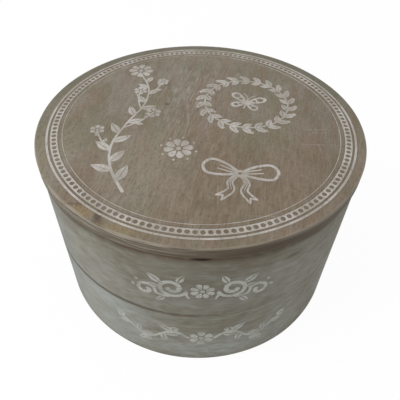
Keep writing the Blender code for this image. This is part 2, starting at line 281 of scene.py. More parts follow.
def add_marks(tree, place, face, marks, shown=None):
    """Lays marks of noise over a face in turn. Returns it with each row's noise, by its name.

    A row is a colour, the marks' size across and along the grain in millimetres, their detail, the
    noise at which they start and at which they are full, and their strength.
    """
    noises = {}
    for name, (tone, across, along, detail, start, full, strength) in marks.items():
        noises[name] = streaks(tree, place, across, along, detail)
        amount = mask(tree, noises[name], start, full, strength)
        face = over(tree, face, tone, weigh(tree, amount, shown) if shown else amount)
    return face, noises


def add_patches(tree, place, face, patches, shown=None):
    """Lays soft patches over a face in turn.

    A patch is the place of its middle, its half size, its colour, its strength and how soft it is.
    """
    for middle, half_size, tone, strength, softness in patches:
        patch = spot(tree, place, middle, half_size, softness)
        patch = weigh(tree, patch, shown) if shown else patch
        face = over(tree, face, tone, weigh(tree, patch, strength))
    return face


print("a row of marks has 7 values after its name, and a row of patches has 5")

# %% [markdown]
# ## The lid's wood: poplar plywood with a taupe stain
# Poplar veneer is pale and soft. Here it took a thin taupe stain, which sank deeper into the open
# fibres, and was rubbed back, so the face shows fine darker streaks, a few pale ones and cloudy
# patches. Broader strokes show most at the front, and a pale haze lies left of the middle. The same
# colour is needed under the worn print, so one function makes it. Its open fibres scatter nearly all
# the light they return, so its specular level is well below the default. A scanned veneer could
# serve, but it would not have this lid's own clouds and knot. Real pores are 0.1 mm wide, too fine to
# show, so they are drawn 0.35 mm wide.

# %% Stain colours and marks
GRAIN_TURN = math.radians(10)
SCRATCH_TURN = math.radians(-62)
TAUPE = "#8a8274"
TAUPE_OLIVE = "#7b7763"
TAUPE_WARM = "#806a56"
TAUPE_DARK = "#6a614f"
TAUPE_PALE = "#968d7c"
TAUPE_RUBBED = "#a7a19a"
TAN = "#94805c"
PORE_BROWN = "#5c5144"
KNOT_BROWN = "#3d2d20"

STAIN_CLOUDS = {
    "clouds": (TAUPE_OLIVE, 20, 30, 2.0, 0.42, 0.58, 0.8),
    "figure": (TAUPE_WARM, 6, 48, 3.0, 0.42, 0.66, 0.55),
}
STAIN_GRAIN = {
    "mottle": (PORE_BROWN, 1.4, 2.6, 4.0, 0.46, 0.72, 0.4),
    "fibres": (PORE_BROWN, 0.5, 9, 5.0, 0.48, 0.72, 0.35),
    "pores": (PORE_BROWN, 0.35, 3.5, 2.0, 0.58, 0.74, 0.4),
}
STAIN_RUBBED = {"rubbed": (TAUPE_RUBBED, 0.8, 9, 4.0, 0.44, 0.7, 1.0)}
STAIN_SCRATCHES = {"scratches": (TAUPE_RUBBED, 0.6, 34, 1.0, 0.73, 0.78, 0.4)}
print("marks on the lid:", *STAIN_CLOUDS, *STAIN_GRAIN, *STAIN_RUBBED, *STAIN_SCRATCHES)

# %% Strokes, haze and patches of the stain
# The strokes and the haze are strongest in an ellipse, given by its middle, half size and softness.
# Their strength is the first value far from it and the second inside it.
STROKE_SIZE = (3.2, 12)
STROKE_LEVELS = {TAUPE_DARK: (0.5, 0.62), TAUPE_PALE: (0.5, 0.38)}
STROKES_AT, STROKES_STRENGTH = ((14, -58), (62, 46), 0.6), (0.1, 0.5)
HAZE_AT, HAZE_STRENGTH = ((-9, 32), (19, 46), 0.8), (0.16, 0.61)

LID_PATCHES = (
    ((42, -66), (60, 62), TAUPE_WARM, 0.5, 0.9),
    ((-31, -48), (25, 36), TAUPE_PALE, 0.5, 0.8),
    ((14, 96), (80, 14), TAUPE_PALE, 0.3, 0.9),
    ((-92, -42), (15, 26), TAUPE_PALE, 0.45, 0.7),
    ((84, 18), (14, 52), TAUPE_DARK, 0.3, 0.7),
    ((82, -58), (20, 28), TAUPE_DARK, 0.25, 0.8),
    ((34, -10), (16, 20), TAUPE_OLIVE, 0.45, 0.9),
    ((2, -8), (12, 18), TAUPE_WARM, 0.3, 0.9),
    ((-65, -86), (10, 4.5), TAN, 0.65, 0.5),
    ((-42, -98), (16, 5), TAN, 0.5, 0.6),
    ((-54.5, -89), (2.2, 4.2), KNOT_BROWN, 0.75, 0.7),
    ((-54, -94), (3.6, 3.0), KNOT_BROWN, 0.35, 0.9),
    ((-68, -80.5), (8, 0.8), KNOT_BROWN, 0.35, 0.7),
    ((-24.7, 19.7), (1.5, 1.0), KNOT_BROWN, 0.8, 0.5),
    ((77, -6), (9, 0.5), TAUPE_RUBBED, 0.4, 0.9),
    ((80, -9.0), (6, 0.4), TAUPE_RUBBED, 0.3, 0.9),
    ((73, -22), (7, 0.6), TAUPE_RUBBED, 0.35, 0.9),
    ((76.5, -26), (0.5, 4), TAUPE_RUBBED, 0.3, 0.9),
    ((10.5, -68), (0.4, 11), TAUPE_RUBBED, 0.4, 0.6),
    ((40, -86), (12, 0.5), TAUPE_RUBBED, 0.35, 0.6),
)
print(len(LID_PATCHES), "patches on the lid")

# %% Stained face
CHALKY = {"Specular IOR Level": 0.2}
STAINED_ROUGHNESS = 0.62
STAINED_RELIEF = 0.06


def stained_face(tree, mm):
    """The colour and the relief of the lid's stained veneer."""
    place = turned(tree, mm, GRAIN_TURN)
    face, _ = add_marks(tree, place, TAUPE, STAIN_CLOUDS)
    strokes = streaks(tree, place, *STROKE_SIZE, detail=2.0)
    strength = stretch(tree, spot(tree, mm, *STROKES_AT), *STROKES_STRENGTH)
    for tone, levels in STROKE_LEVELS.items():
        face = over(tree, face, tone, weigh(tree, mask(tree, strokes, *levels), strength))
    face = add_patches(tree, mm, face, LID_PATCHES)
    face, noises = add_marks(tree, place, face, STAIN_GRAIN)
    haze = stretch(tree, spot(tree, mm, *HAZE_AT), *HAZE_STRENGTH)
    face, _ = add_marks(tree, place, face, STAIN_RUBBED, haze)
    face, _ = add_marks(tree, turned(tree, mm, SCRATCH_TURN), face, STAIN_SCRATCHES)
    return face, noises["fibres"]


print(f"the grain is turned by {math.degrees(GRAIN_TURN):.0f} degrees on the lid")

# %% [markdown]
# ## Plywood edges
# A sheet of plywood is three layers glued crosswise: two thin faces and a core. On a cut edge they
# show as stripes, with a dark line of glue between them. They could be three solids, but no gap shows
# between them. So colour does it: the depth into the sheet tells the layers apart, which works on a
# flat sheet, where it is a height, and on a bent one, where it is a radius.

# %% Layers of plywood
CORE_SHARE = 0.4
LAYER_SOFTNESS = 0.02
GLUE_SHARE = 0.06


def ply_stripes(tree, depth, thickness, face, core, glue, strength):
    """The layers of a sheet, by the depth into it from one side, in millimetres."""
    share = add_node(tree, "Math", {"operation": "DIVIDE"}, {0: depth, 1: thickness})
    from_middle = beside(tree, share, 0.5)
    joint = CORE_SHARE / 2
    outside = mask(tree, from_middle, joint - LAYER_SOFTNESS, joint + LAYER_SOFTNESS)
    near_joint = mask(tree, beside(tree, from_middle, joint), GLUE_SHARE, 0.0, strength)
    return over(tree, over(tree, core, face, outside), glue, near_joint)


print(f"the core is {CORE_SHARE:.0%} of a sheet")

# %% [markdown]
# ## The lid's edge and rim
# The edge is paler on its left side: rubbed streaks, and painted light that falls from the left. On its
# right it is darker, partly from a stain and partly as painted shade, and only the top corner is worn.
# A patch of painted light lies near its top at the far right. Round the top corner the stain has rubbed
# away, which leaves a thin pale line, wider and stronger on the lit left side. The lower sheet has the
# same line, but fainter. Dust has greyed the rim at the back. At the front a small, very dark spot of
# painted shadow lies under the lid, half on the lid and half on the wall. A darker coat lies under the
# printed border, so a ring of it shows between the white lines.

# %% Edge colours and marks
EDGE_FACE_PLY = "#615646"
EDGE_CORE_PLY = "#574c3c"
EDGE_GLUE = "#3a2f24"
EDGE_RUBBED_AND_LIT = "#948e82"
WORN_ARRIS = "#a0978a"
UNDER_PRINT = "#665c4f"
RIM_DUST = "#646355"
UNDER_LID_SHADOW = "#22120b"

# On the edge and the walls a place is (height, length round the wall from the front).
# A painted shadow: a small, very dark spot under the lid at the front, half on the lid and half on the wall.
UNDER_LID_SHADOW_PATCH = ((119.9, 2.0), (1.9, 5.5), UNDER_LID_SHADOW, 1.0, 0.5)
# The first patch darkens the lower sheet on the right, partly a stain and partly painted shade. The second
# is painted light near the top of the edge at the far right. The third is the painted shadow spot.
EDGE_PATCHES = (
    ((122.0, 46), (4.5, 30), EDGE_GLUE, 0.4, 0.6),
    ((128.8, 84), (2.6, 42), EDGE_RUBBED_AND_LIT, 0.55, 0.6),
    UNDER_LID_SHADOW_PATCH,
)
# Painted light from the left, with rubbed streaks, makes the edge paler on its left side. The worn line
# there is wider and stronger too.
LIT_AND_RUBBED_SIDE = ((LID_TOP, -64), (8, 60), 0.7)
EDGE_RUBBING_AND_LIGHT = {"rubbed": (EDGE_RUBBED_AND_LIT, 0.7, 26, 4.0, 0.44, 0.64, 1.0)}
EDGE_RUBBING_AND_LIGHT_STRENGTH = (0.03, 0.97)
ARRIS_MARKS = (4.0, 24)
ARRIS_LEVELS = (0.36, 0.6)
ARRIS_STRENGTH = {True: (0.4, 0.75), False: (0.1, 0.45)}
print(len(EDGE_PATCHES), "patches on the lid's edge")

# %% The coat under the border, and dust
BORDER_MIDDLE = (0.4, -0.55)
UNDER_PRINT_RING = (95.0, 103.6)
RING_SOFTNESS, RING_STRENGTH = 0.3, 0.35
DUST_SOFTNESS, DUST_STRENGTH = 1.0, 0.6
DUSTY_FROM_Y, DUSTY_FULL_Y = -30, 60


def rim_face(tree, mm, face, radius, printed):
    """Adds the coat under the printed border, and the dust that greys the rim at the back."""
    inner, outer = UNDER_PRINT_RING
    if printed:
        out = distance_from(tree, mm, BORDER_MIDDLE)
        ring = mask(tree, out, inner - RING_SOFTNESS, inner + RING_SOFTNESS, RING_STRENGTH)
        ring = weigh(tree, ring, mask(tree, out, outer + RING_SOFTNESS, outer - RING_SOFTNESS))
        face = over(tree, face, UNDER_PRINT, ring)
    towards_back = add_node(tree, "SeparateXYZ", {}, {"Vector": mm}).outputs["Y"]
    dusty = mask(tree, radius, outer - DUST_SOFTNESS, outer + DUST_SOFTNESS, DUST_STRENGTH)
    dusty = weigh(tree, dusty, mask(tree, towards_back, DUSTY_FROM_Y, DUSTY_FULL_Y))
    return over(tree, face, RIM_DUST, dusty)


print(f"the border stands {math.hypot(*BORDER_MIDDLE):.1f} mm off the middle")

# %% Lid material
# How far inside the lid's radius the edge's colours start and are full, and how far inside its
# corner the worn line does.
EDGE_STARTS, EDGE_FULL = -0.4, -0.2
ARRIS_STARTS, ARRIS_FULL = -1.3, -0.7
ARRIS_WIDER = 0.5


def stained_plywood(name, low, high, printed):
    """The material of a lid sheet that lies between two levels."""
    material, tree = new_material(name, STAINED_ROUGHNESS, **CHALKY)
    mm = millimetres(tree)
    face, fibres = stained_face(tree, mm)
    place, height, _, radius = round_place(tree, mm)
    face = rim_face(tree, mm, face, radius, printed)

    layers = (EDGE_FACE_PLY, EDGE_CORE_PLY, EDGE_GLUE)
    edge = ply_stripes(tree, above(tree, height, low), high - low, *layers, 0.5)
    # Painted light and rubbed streaks on the edge's left side, where the worn line is also wider.
    lit_and_rubbed_side = spot(tree, place, *LIT_AND_RUBBED_SIDE)
    rubbing_and_light = stretch(tree, lit_and_rubbed_side, *EDGE_RUBBING_AND_LIGHT_STRENGTH)
    edge, _ = add_marks(tree, place, edge, EDGE_RUBBING_AND_LIGHT, rubbing_and_light)
    edge = add_patches(tree, place, edge, EDGE_PATCHES)

    outwards = above(tree, radius, LID_RADIUS)
    corner = add_node(tree, "Math", {"operation": "ADD"}, {0: outwards, 1: above(tree, height, high)})
    widened = {0: lit_and_rubbed_side, 1: ARRIS_WIDER, 2: corner}
    corner = add_node(tree, "Math", {"operation": "MULTIPLY_ADD"}, widened)
    spotty = mask(tree, streaks(tree, place, *ARRIS_MARKS, detail=4.0), *ARRIS_LEVELS)
    spotty = weigh(tree, spotty, stretch(tree, lit_and_rubbed_side, *ARRIS_STRENGTH[printed]))
    arris = weigh(tree, mask(tree, corner, ARRIS_STARTS, ARRIS_FULL), spotty)
    shown = over(tree, face, edge, mask(tree, outwards, EDGE_STARTS, EDGE_FULL))
    coat(tree, over(tree, shown, WORN_ARRIS, arris), fibres, STAINED_RELIEF)
    return material


print(f"the worn line is {ARRIS_FULL - ARRIS_STARTS:.1f} mm soft")

# %% [markdown]
# ## The walls' wood: bent plywood under a worn whitewash
# Each tray's wall is one strip of thin plywood, bent into a hoop with the grain running round it. A
# thin grey-white wash was brushed along the grain and wiped, so it stays in streaks and pale patches
# with ragged edges, and it is blotchy all over. On the left it is thicker and hides the grain. The
# larger patches are placed where the photograph shows them, and a few more of the same size go on
# round the back. A wash is far too thin for a skin of its own, so it is colour and no shape.

# %% Wash colours and marks
WASH_KHAKI = "#868376"
WASH_BROWN = "#736c5d"
WASH_GREY = "#8e9088"
WASH_PALE = "#a4a9a6"
COOL_WASH_AND_SHADE = "#78827f"
GRAIN_DARK = "#5b5548"
MOSS = "#5f6148"
LID_SHADOW_RED_BROWN = "#5c4030"
SHADE = "#62584a"
GRIME_AND_SHADE = "#4b4234"

WASH_CLOUDS = {
    "clouds": (WASH_BROWN, 17, 22, 3.0, 0.4, 0.6, 0.6),
    "bands": (WASH_BROWN, 4.5, 60, 3.0, 0.46, 0.68, 0.35),
}
WASH_SMEARS = {"smears": (WASH_GREY, 3.4, 12, 5.0, 0.42, 0.66, 0.5)}
WASH_GRAIN = {
    "mottle": (WASH_BROWN, 2.0, 6.0, 4.0, 0.46, 0.7, 0.4),
    "fibres": (GRAIN_DARK, 0.8, 12, 5.0, 0.52, 0.74, 0.55),
}
BLOTCH_SIZE = (5.0, 9.0)
BLOTCH_STRENGTH = 0.12
DARK_BLOTCHES = (0.5, 0.64, BLOTCH_STRENGTH)
PALE_BLOTCHES = (0.5, 0.36, BLOTCH_STRENGTH)
print("marks on the walls:", *WASH_CLOUDS, *WASH_SMEARS, *WASH_GRAIN)

# %% Patches of the wash
# The wash is thick in an ellipse, where the grain has the second strength and not the first.
THICK_WASH_AT, GRAIN_STRENGTH = ((50, -86), (62, 36), 0.7), (1.0, 0.5)
RAGGED_STRENGTH = (0.6, 1.4)

# Each pale patch is its middle, its half size and its strength.
PATCH_SOFTNESS = 0.6
WASH_PATCHES = (
    ((32, -84), (34, 42), 0.45),
    ((52, -62), (9, 20), 0.45),
    ((94, -104), (24, 22), 0.25),
    ((84, -66), (12, 20), 0.22),
    ((82, 84), (12, 14), 0.25),
    ((76, -2), (5, 42), 0.2),
    ((96, 34), (10, 20), 0.15),
    ((15, 2), (12, 44), 0.45),
    ((20, 58), (20, 18), 0.35),
    ((62, 62), (30, 14), 0.2),
    ((20, 30), (22, 16), 0.2),
    ((42, -44), (15, 14), 0.3),
    ((54, -30), (8, 18), 0.25),
    ((14, -52), (16, 20), 0.3),
    ((40, 150), (40, 46), 0.5),
    ((90, -190), (34, 52), 0.5),
    ((24, 250), (26, 40), 0.5),
)
# The first row is painted shade with a cooler tint at the far left of the front, where the wall turns out of
# sight. The rows at about 119 mm high are painted shadow just under the lid: three dark bands and a
# red-brown line. The shade rows at 113 and 114 mm deepen it. The small grime mark at 106 mm is dirt.
WALL_MARKS = (
    ((60, -112), (64, 18), COOL_WASH_AND_SHADE, 0.5, 0.8),
    ((114, 10), (12, 46), SHADE, 0.5, 0.8),
    ((87, 6), (14, 32), SHADE, 0.4, 0.8),
    ((40, 20), (8, 14), SHADE, 0.35, 0.8),
    ((113, -104), (9, 26), SHADE, 0.25, 0.8),
    ((119.4, 0), (3.2, 130), GRIME_AND_SHADE, 0.5, 0.8),
    ((119.8, 56), (3.6, 50), GRIME_AND_SHADE, 0.8, 0.8),
    ((118.8, -92), (3.6, 44), GRIME_AND_SHADE, 0.7, 0.8),
    ((62, 30), (7, 50), SHADE, 0.25, 0.8),
    ((106, 57), (1.6, 4.5), GRIME_AND_SHADE, 0.6, 0.8),
    ((61, 82), (3.0, 6.0), MOSS, 0.6, 0.8),
    ((52, -20), (3.5, 30), MOSS, 0.25, 0.8),
    ((119, -20), (1.4, 40), LID_SHADOW_RED_BROWN, 0.6, 0.8),
)
print(len(WASH_PATCHES), "pale patches and", len(WALL_MARKS), "other marks on the walls")

# %% Washed face


def whitewashed_face(tree, place):
    """The colour and the relief of the washed outside of a hoop."""
    bare_grain = stretch(tree, spot(tree, place, *THICK_WASH_AT), *GRAIN_STRENGTH)
    face, _ = add_marks(tree, place, WASH_KHAKI, WASH_CLOUDS)
    face, noises = add_marks(tree, place, face, WASH_SMEARS, bare_grain)
    ragged = stretch(tree, noises["smears"], *RAGGED_STRENGTH)
    pale = [(*patch[:2], WASH_PALE, patch[2], PATCH_SOFTNESS) for patch in WASH_PATCHES]
    face = add_patches(tree, place, face, pale, ragged)
    face = add_patches(tree, place, face, WALL_MARKS)
    blotches = streaks(tree, place, *BLOTCH_SIZE)
    dark = weigh(tree, mask(tree, blotches, *DARK_BLOTCHES), bare_grain)
    face = over(tree, face, SHADE, dark)
    face = over(tree, face, WASH_PALE, mask(tree, blotches, *PALE_BLOTCHES))
    face, noises = add_marks(tree, place, face, WASH_GRAIN, bare_grain)
    return face, noises["fibres"]


print(f"a blotch of the wash is {BLOTCH_SIZE[0]:.0f} mm high and {BLOTCH_SIZE[1]:.0f} mm long")

# %% [markdown]
# ## The rest of a hoop
# On the rims the bare layers of the strip show, and the inside has no wash. Along the rims the wash is
# darker, most of all left of the middle: dirt, and painted shade where each rim meets the next part. On
# the right every rim but the topmost is paler: rubbed by hands, and partly a painted highlight.

# %% Hoop material
WASHED_ROUGHNESS = 0.72
WASHED_RELIEF = 0.08
INSIDE_RAW = "#b5a58b"
INSIDE_DARK = "#988668"
PLY_GLUE = "#6f5a40"
RIM_RUBBED_AND_LIT = "#a8a294"
INSIDE_MARKS = {
    "figure": (INSIDE_DARK, 7, 140, 3.0, 0.4, 0.7, 0.55),
    "fibres": (INSIDE_DARK, 0.6, 35, 4.0, 0.5, 0.75, 0.6),
}

# Where each mask is nothing and where it is full: round the wall with its strength, away from a rim,
# and in height.
DIRT_AND_SHADE_ROUND, DIRT_AND_SHADE_FROM_RIM = (45, -50, 0.65), (2.4, 0.2)
RUBBED_AND_LIT_ROUND, RUBBED_AND_LIT_FROM_RIM, RUBBED_AND_LIT_HEIGHT = (-10, 50, 0.7), (0.9, 0.3), (100, 80)
WASH_EDGE = 0.3
WASH_RAGGED = 1.2
WASH_RAGGED_SIZE = (1.0, 6.0)


def bent_plywood(name, low, high):
    """A hoop's material: wash outside, bare layers on the rims and bare wood inside."""
    material, tree = new_material(name, WASHED_ROUGHNESS, **CHALKY)
    place, height, arc, radius = round_place(tree, millimetres(tree))
    washed, fibres = whitewashed_face(tree, place)
    rims = {0: above(tree, height, low), 1: above(tree, high, height)}
    from_rim = add_node(tree, "Math", {"operation": "MINIMUM"}, rims)
    # Dirt and painted shade darken the wash near the rims, where the parts meet.
    dirt_and_shade = weigh(tree, mask(tree, arc, *DIRT_AND_SHADE_ROUND), mask(tree, from_rim, *DIRT_AND_SHADE_FROM_RIM))
    # Wear and a painted highlight make the rims paler on the right.
    rubbed = weigh(tree, mask(tree, arc, *RUBBED_AND_LIT_ROUND), mask(tree, from_rim, *RUBBED_AND_LIT_FROM_RIM))
    rubbed = weigh(tree, rubbed, mask(tree, height, *RUBBED_AND_LIT_HEIGHT))
    washed = over(tree, over(tree, washed, GRIME_AND_SHADE, dirt_and_shade), RIM_RUBBED_AND_LIT, rubbed)
    # Painted shadow: the dark spot under the lid at the front reaches onto the wall.
    washed = add_patches(tree, place, washed, [UNDER_LID_SHADOW_PATCH])

    bare, _ = add_marks(tree, place, INSIDE_RAW, INSIDE_MARKS)
    depth = above(tree, radius, HOOP_BORE)
    bare = ply_stripes(tree, depth, WALL_RADIUS - HOOP_BORE, bare, INSIDE_DARK, PLY_GLUE, 0.8)
    ragged = {0: streaks(tree, place, *WASH_RAGGED_SIZE), 1: WASH_RAGGED, 2: radius}
    ragged = add_node(tree, "Math", {"operation": "MULTIPLY_ADD"}, ragged)
    outside = mask(tree, ragged, WALL_RADIUS - WASH_EDGE, WALL_RADIUS)
    coat(tree, over(tree, bare, washed, outside), fibres, WASHED_RELIEF)
    return material


print(f"the strip is {WALL_RADIUS - HOOP_BORE:.1f} mm thick")

# %% [markdown]
# ## Turning and bending shapes
# A lid sheet is a turned disc with softly sanded corners. A wall is a strip: its section is carried
# round the box and stops just short of a full turn, where its two ends butt. Hand sanded edges are
# never perfectly round, so every outside wanders inwards by up to a fifth of a millimetre. A Screw
# modifier could carry a section round too, but a loop lets every point wander on its own.

# %% Mesh helpers
SHARP_ANGLE = 35


def new_object(name, points, faces, material):
    """A mesh object from points in millimetres."""
    mesh = bpy.data.meshes.new(name)
    mesh.from_pydata([tuple(Vector(p) * MM) for p in points], [], faces)
    mesh.update()
    mesh.materials.append(material)
    made = bpy.data.objects.new(name, mesh)
    bpy.context.scene.collection.objects.link(made)
    return made


def shade(made, sharp_angle=SHARP_ANGLE):
    """Smooth shading, with edges sharper than the angle kept crisp."""
    made.data.shade_smooth()
    made.data.set_sharp_from_angle(angle=math.radians(sharp_angle))
    return made


print(f"an edge sharper than {SHARP_ANGLE} degrees stays crisp")

# %% Sections carried round the box
ROUND_STEPS = 240
CORNER_STEPS = 4
WALL_WANDER = 0.2
WANDER_CIRCLE = 2.2
WANDER_HEIGHT = 70
WANDER_CONTRAST = 1.6


def sanded(angle, height, depth):
    """How far the surface has wandered inwards here, from 0 to depth."""
    way = Vector((math.cos(angle) * WANDER_CIRCLE, math.sin(angle) * WANDER_CIRCLE, height / WANDER_HEIGHT))
    return depth * (0.5 - 0.5 * max(-1.0, min(1.0, WANDER_CONTRAST * noise.noise(way))))


def quarter(x, z, radius, start):
    """A quarter circle of section points, clockwise from a start angle in degrees."""
    turns = [math.radians(start - 90 * step / CORNER_STEPS) for step in range(CORNER_STEPS + 1)]
    return [(x + radius * math.cos(turn), z + radius * math.sin(turn)) for turn in turns]


def section_points(section, angle, wander, solid_from):
    """A section's points in one direction. Those outside solid_from wander inwards a little."""
    points = []
    for radius, height in section:
        out = radius - (sanded(angle, height, wander) if radius > solid_from else 0.0)
        points.append((out * math.cos(angle), out * math.sin(angle), height))
    return points


def ring_faces(count, rings):
    """The faces of a closed chain of rings that have this many points each."""
    faces = []
    for ring in range(rings):
        here, there = ring * count, (ring + 1) % rings * count
        for i in range(count):
            j = (i + 1) % count
            faces.append((here + i, here + j, there + j, there + i))
    return faces


print(f"one step round the lid is {2 * math.pi * LID_RADIUS / ROUND_STEPS:.1f} mm long")

# %% [markdown]
# ## The lid
# Two sheets lie on each other with a hair-thin joint between them. Only the corners that a hand meets
# are rounded. The top of the upper sheet is set a tenth of a millimetre low, so that the printed layer
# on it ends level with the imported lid. The lower sheet has the bolt's bore, and the upper one has a
# pocket for the bolt's head. A boolean with a cylinder cuts both, as a drill would.

# %% Turn a sheet
LID_WANDER = 0.15
LID_ROUNDING = 0.75
JOINT_ROUNDING = 0.12
LID_FLAT_INSET = 2.5
LID_WANDER_INSET = 2.0
CENTRE_RING = 0.001
CENTRE_WELD = 0.005


def lid_section(low, high, low_rounding, high_rounding):
    """A ring that closes on a small central point, from its top inwards."""
    inner = LID_RADIUS - LID_FLAT_INSET
    return [
        (CENTRE_RING, high),
        (inner, high),
        *quarter(LID_RADIUS - high_rounding, high - high_rounding, high_rounding, 90),
        *quarter(LID_RADIUS - low_rounding, low + low_rounding, low_rounding, 0),
        (inner, low),
        (CENTRE_RING, low),
    ]


def turn_disc(name, section, material):
    """Carries a section round Z, and welds its tiny central ring into a point on each face."""
    points = []
    for step in range(ROUND_STEPS):
        angle = 2 * math.pi * step / ROUND_STEPS
        points += section_points(section, angle, LID_WANDER, LID_RADIUS - LID_WANDER_INSET)
    made = new_object(name, points, ring_faces(len(section), ROUND_STEPS), material)
    mesh = bmesh.new()
    mesh.from_mesh(made.data)
    bmesh.ops.remove_doubles(mesh, verts=mesh.verts, dist=CENTRE_WELD * MM)
    loose = [edge for edge in mesh.edges if not edge.link_faces]
    bmesh.ops.delete(mesh, geom=loose, context="EDGES")
    mesh.to_mesh(made.data)
    mesh.free()
    return made


print(f"the lid's outer corners have a radius of {LID_ROUNDING} mm")

# %% Drill a sheet
DRILL_SIDES = 64


def drill(made, radius, low, high):
    """Cuts a round hole about the pivot's line."""
    bpy.ops.mesh.primitive_cylinder_add(
        vertices=DRILL_SIDES,
        radius=radius * MM,
        depth=(high - low) * MM,
        location=(0, PIVOT_Y * MM, (low + high) / 2 * MM),
    )
    cutter = bpy.context.object
    cut = made.modifiers.new("drill", "BOOLEAN")
    cut.object = cutter
    evaluated = made.evaluated_get(bpy.context.evaluated_depsgraph_get())
    drilled = bpy.data.meshes.new_from_object(evaluated)
    made.modifiers.clear()
    made.data = drilled
    bpy.data.objects.remove(cutter)


print(f"the bolt's head is {2 * BOLT_HEAD_RADIUS:.1f} mm wide")

# %% Make the two lid sheets
PRINT_THICKNESS = 0.12
LID_FACE = LID_TOP - PRINT_THICKNESS
BOLT_RADIUS = 3.0
BORE_CLEARANCE = 0.25
POCKET_CLEARANCE = 0.5
DRILL_PAST = 1.0

top_wood = stained_plywood("stained_poplar_plywood_top", lid_top_low.z, LID_FACE, True)
section = lid_section(lid_top_low.z, LID_FACE, JOINT_ROUNDING, LID_ROUNDING)
lid_top = turn_disc("lid_top_sheet", section, top_wood)
drill(lid_top, BOLT_HEAD_RADIUS + POCKET_CLEARANCE, lid_top_low.z - DRILL_PAST, bolt_high.z + SEAT_GAP)

under_wood = stained_plywood("stained_poplar_plywood_under", lid_under_low.z, lid_under_high.z, False)
section = lid_section(lid_under_low.z, lid_under_high.z, LID_ROUNDING / 2, JOINT_ROUNDING)
lid_under = turn_disc("lid_under_sheet", section, under_wood)
drill(lid_under, BOLT_RADIUS + BORE_CLEARANCE, lid_under_low.z - DRILL_PAST, lid_under_high.z + DRILL_PAST)

for piece, node in ((lid_top, "lid_top_panel"), (lid_under, "lid_under_panel")):
    shade(piece)
    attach(piece, "lid")
    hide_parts(node)
    print(piece.name, len(piece.data.polygons), "faces")

# %% [markdown]
# ## The two walls
# Both hoops are the same strip, carried from one side of the butt joint at the back to the other, where
# glue closes it and only a narrow groove shows. The strip has a row of points about every 7 mm of its
# height, so its face can wander gently.

# %% Make the two hoops
HOOP_ROUNDING = 0.35
BUTT_GAP = 0.4
BUTT_DEPTH = 2.0
WALL_ROWS = 8


def wall_face(angle, height):
    """The washed face's radius in this direction and at this height."""
    return WALL_RADIUS - sanded(angle, height, WALL_WANDER)


def hoop_section(low, high):
    """The strip's closed section, down its outside first."""
    outer, inner = WALL_RADIUS - HOOP_ROUNDING, HOOP_BORE + HOOP_ROUNDING
    top, bottom = high - HOOP_ROUNDING, low + HOOP_ROUNDING
    rows = [(WALL_RADIUS, top + (bottom - top) * row / WALL_ROWS) for row in range(1, WALL_ROWS)]
    return [
        *quarter(outer, top, HOOP_ROUNDING, 90),
        *rows,
        *quarter(outer, bottom, HOOP_ROUNDING, 0),
        *quarter(inner, bottom, HOOP_ROUNDING, -90),
        *quarter(inner, top, HOOP_ROUNDING, -180),
    ]


def bend_strip(name, section, material):
    """Carries a closed section round Z. Its two ends meet in a narrow groove at the back."""
    half_gap = math.asin(BUTT_GAP / 2 / WALL_RADIUS)
    start, sweep = math.pi / 2 + half_gap, 2 * math.pi - 2 * half_gap
    middle = (WALL_RADIUS + HOOP_BORE) / 2
    points = []
    for step in range(ROUND_STEPS + 1):
        points += section_points(section, start + sweep * step / ROUND_STEPS, WALL_WANDER, middle)
    for radius, height in section:
        points.append((0, radius - (BUTT_DEPTH if radius > middle else 0.0), height))
    return shade(new_object(name, points, ring_faces(len(section), ROUND_STEPS + 2), material))


for node, body in (("lower_hoop", "base"), ("upper_hoop", "upper_tray")):
    low, high = HOOPS[node][0].z, HOOPS[node][1].z
    wood = bent_plywood("whitewashed_" + node.replace("hoop", "bent_plywood"), low, high)
    hoop = bend_strip(node.replace("hoop", "bent_wall"), hoop_section(low, high), wood)
    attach(hoop, body)
    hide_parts(node)
    print(hoop.name, len(hoop.data.polygons), "faces")

# %% [markdown]
# ## The wood inside
# Floors and dividers are birch plywood, sanded and left raw, so the grain shows on the faces and the
# layers show on the cut edges. A sheet's layers are told apart by the depth into it, which is 0 or 1 on
# its faces, so one material serves both. The pivot blocks are solid pine. Its growth rings are long
# tubes along the grain: they cut the ends as arcs and the faces as lines. Colours that are worked out
# in space do that by themselves, while an image would need each side drawn to match the next.

# %% Raw birch plywood
RAW_ROUGHNESS = 0.78
RAW_RELIEF = 0.05
BIRCH = "#c6b08c"
BIRCH_DARK = "#ab9068"
BIRCH_GLUE = "#7d6140"
BIRCH_MARKS = {
    "figure": (BIRCH_DARK, 6, 90, 3.0, 0.4, 0.7, 0.5),
    "fibres": (BIRCH_DARK, 0.5, 20, 5.0, 0.48, 0.72, 0.6),
}


def raw_plywood(name, low, high, through, across, along):
    """Plywood whose sheet lies between two values of one axis. The grain runs along another."""
    material, tree = new_material(name, RAW_ROUGHNESS)
    parts = add_node(tree, "SeparateXYZ", {}, {"Vector": millimetres(tree)}).outputs
    place = {"X": parts[across], "Y": parts[along], "Z": parts[through]}
    place = add_node(tree, "CombineXYZ", {}, place)
    face, noises = add_marks(tree, place, BIRCH, BIRCH_MARKS)
    depth = above(tree, parts[through], low)
    shown = ply_stripes(tree, depth, high - low, face, BIRCH_DARK, BIRCH_GLUE, 0.7)
    coat(tree, shown, noises["fibres"], RAW_RELIEF)
    return material


print("marks on the birch:", *BIRCH_MARKS)

# %% Sanded pine
PINE_ROUGHNESS = 0.6
PINE_RELIEF = 0.04
PINE = "#cdb083"
PINE_LATEWOOD = "#a67a48"
PINE_MARKS = {"fibres": (BIRCH_DARK, 0.35, 12, 4.0, 0.5, 0.74, 0.5)}

# The growth rings go round a line along X, which has this height and this place towards the back.
RING_MIDDLE = (-34.0, 124.0)
RING_SPACING = 2.6
RING_WAVE = 9.0
RING_WAVE_SIZE = (24, 90)

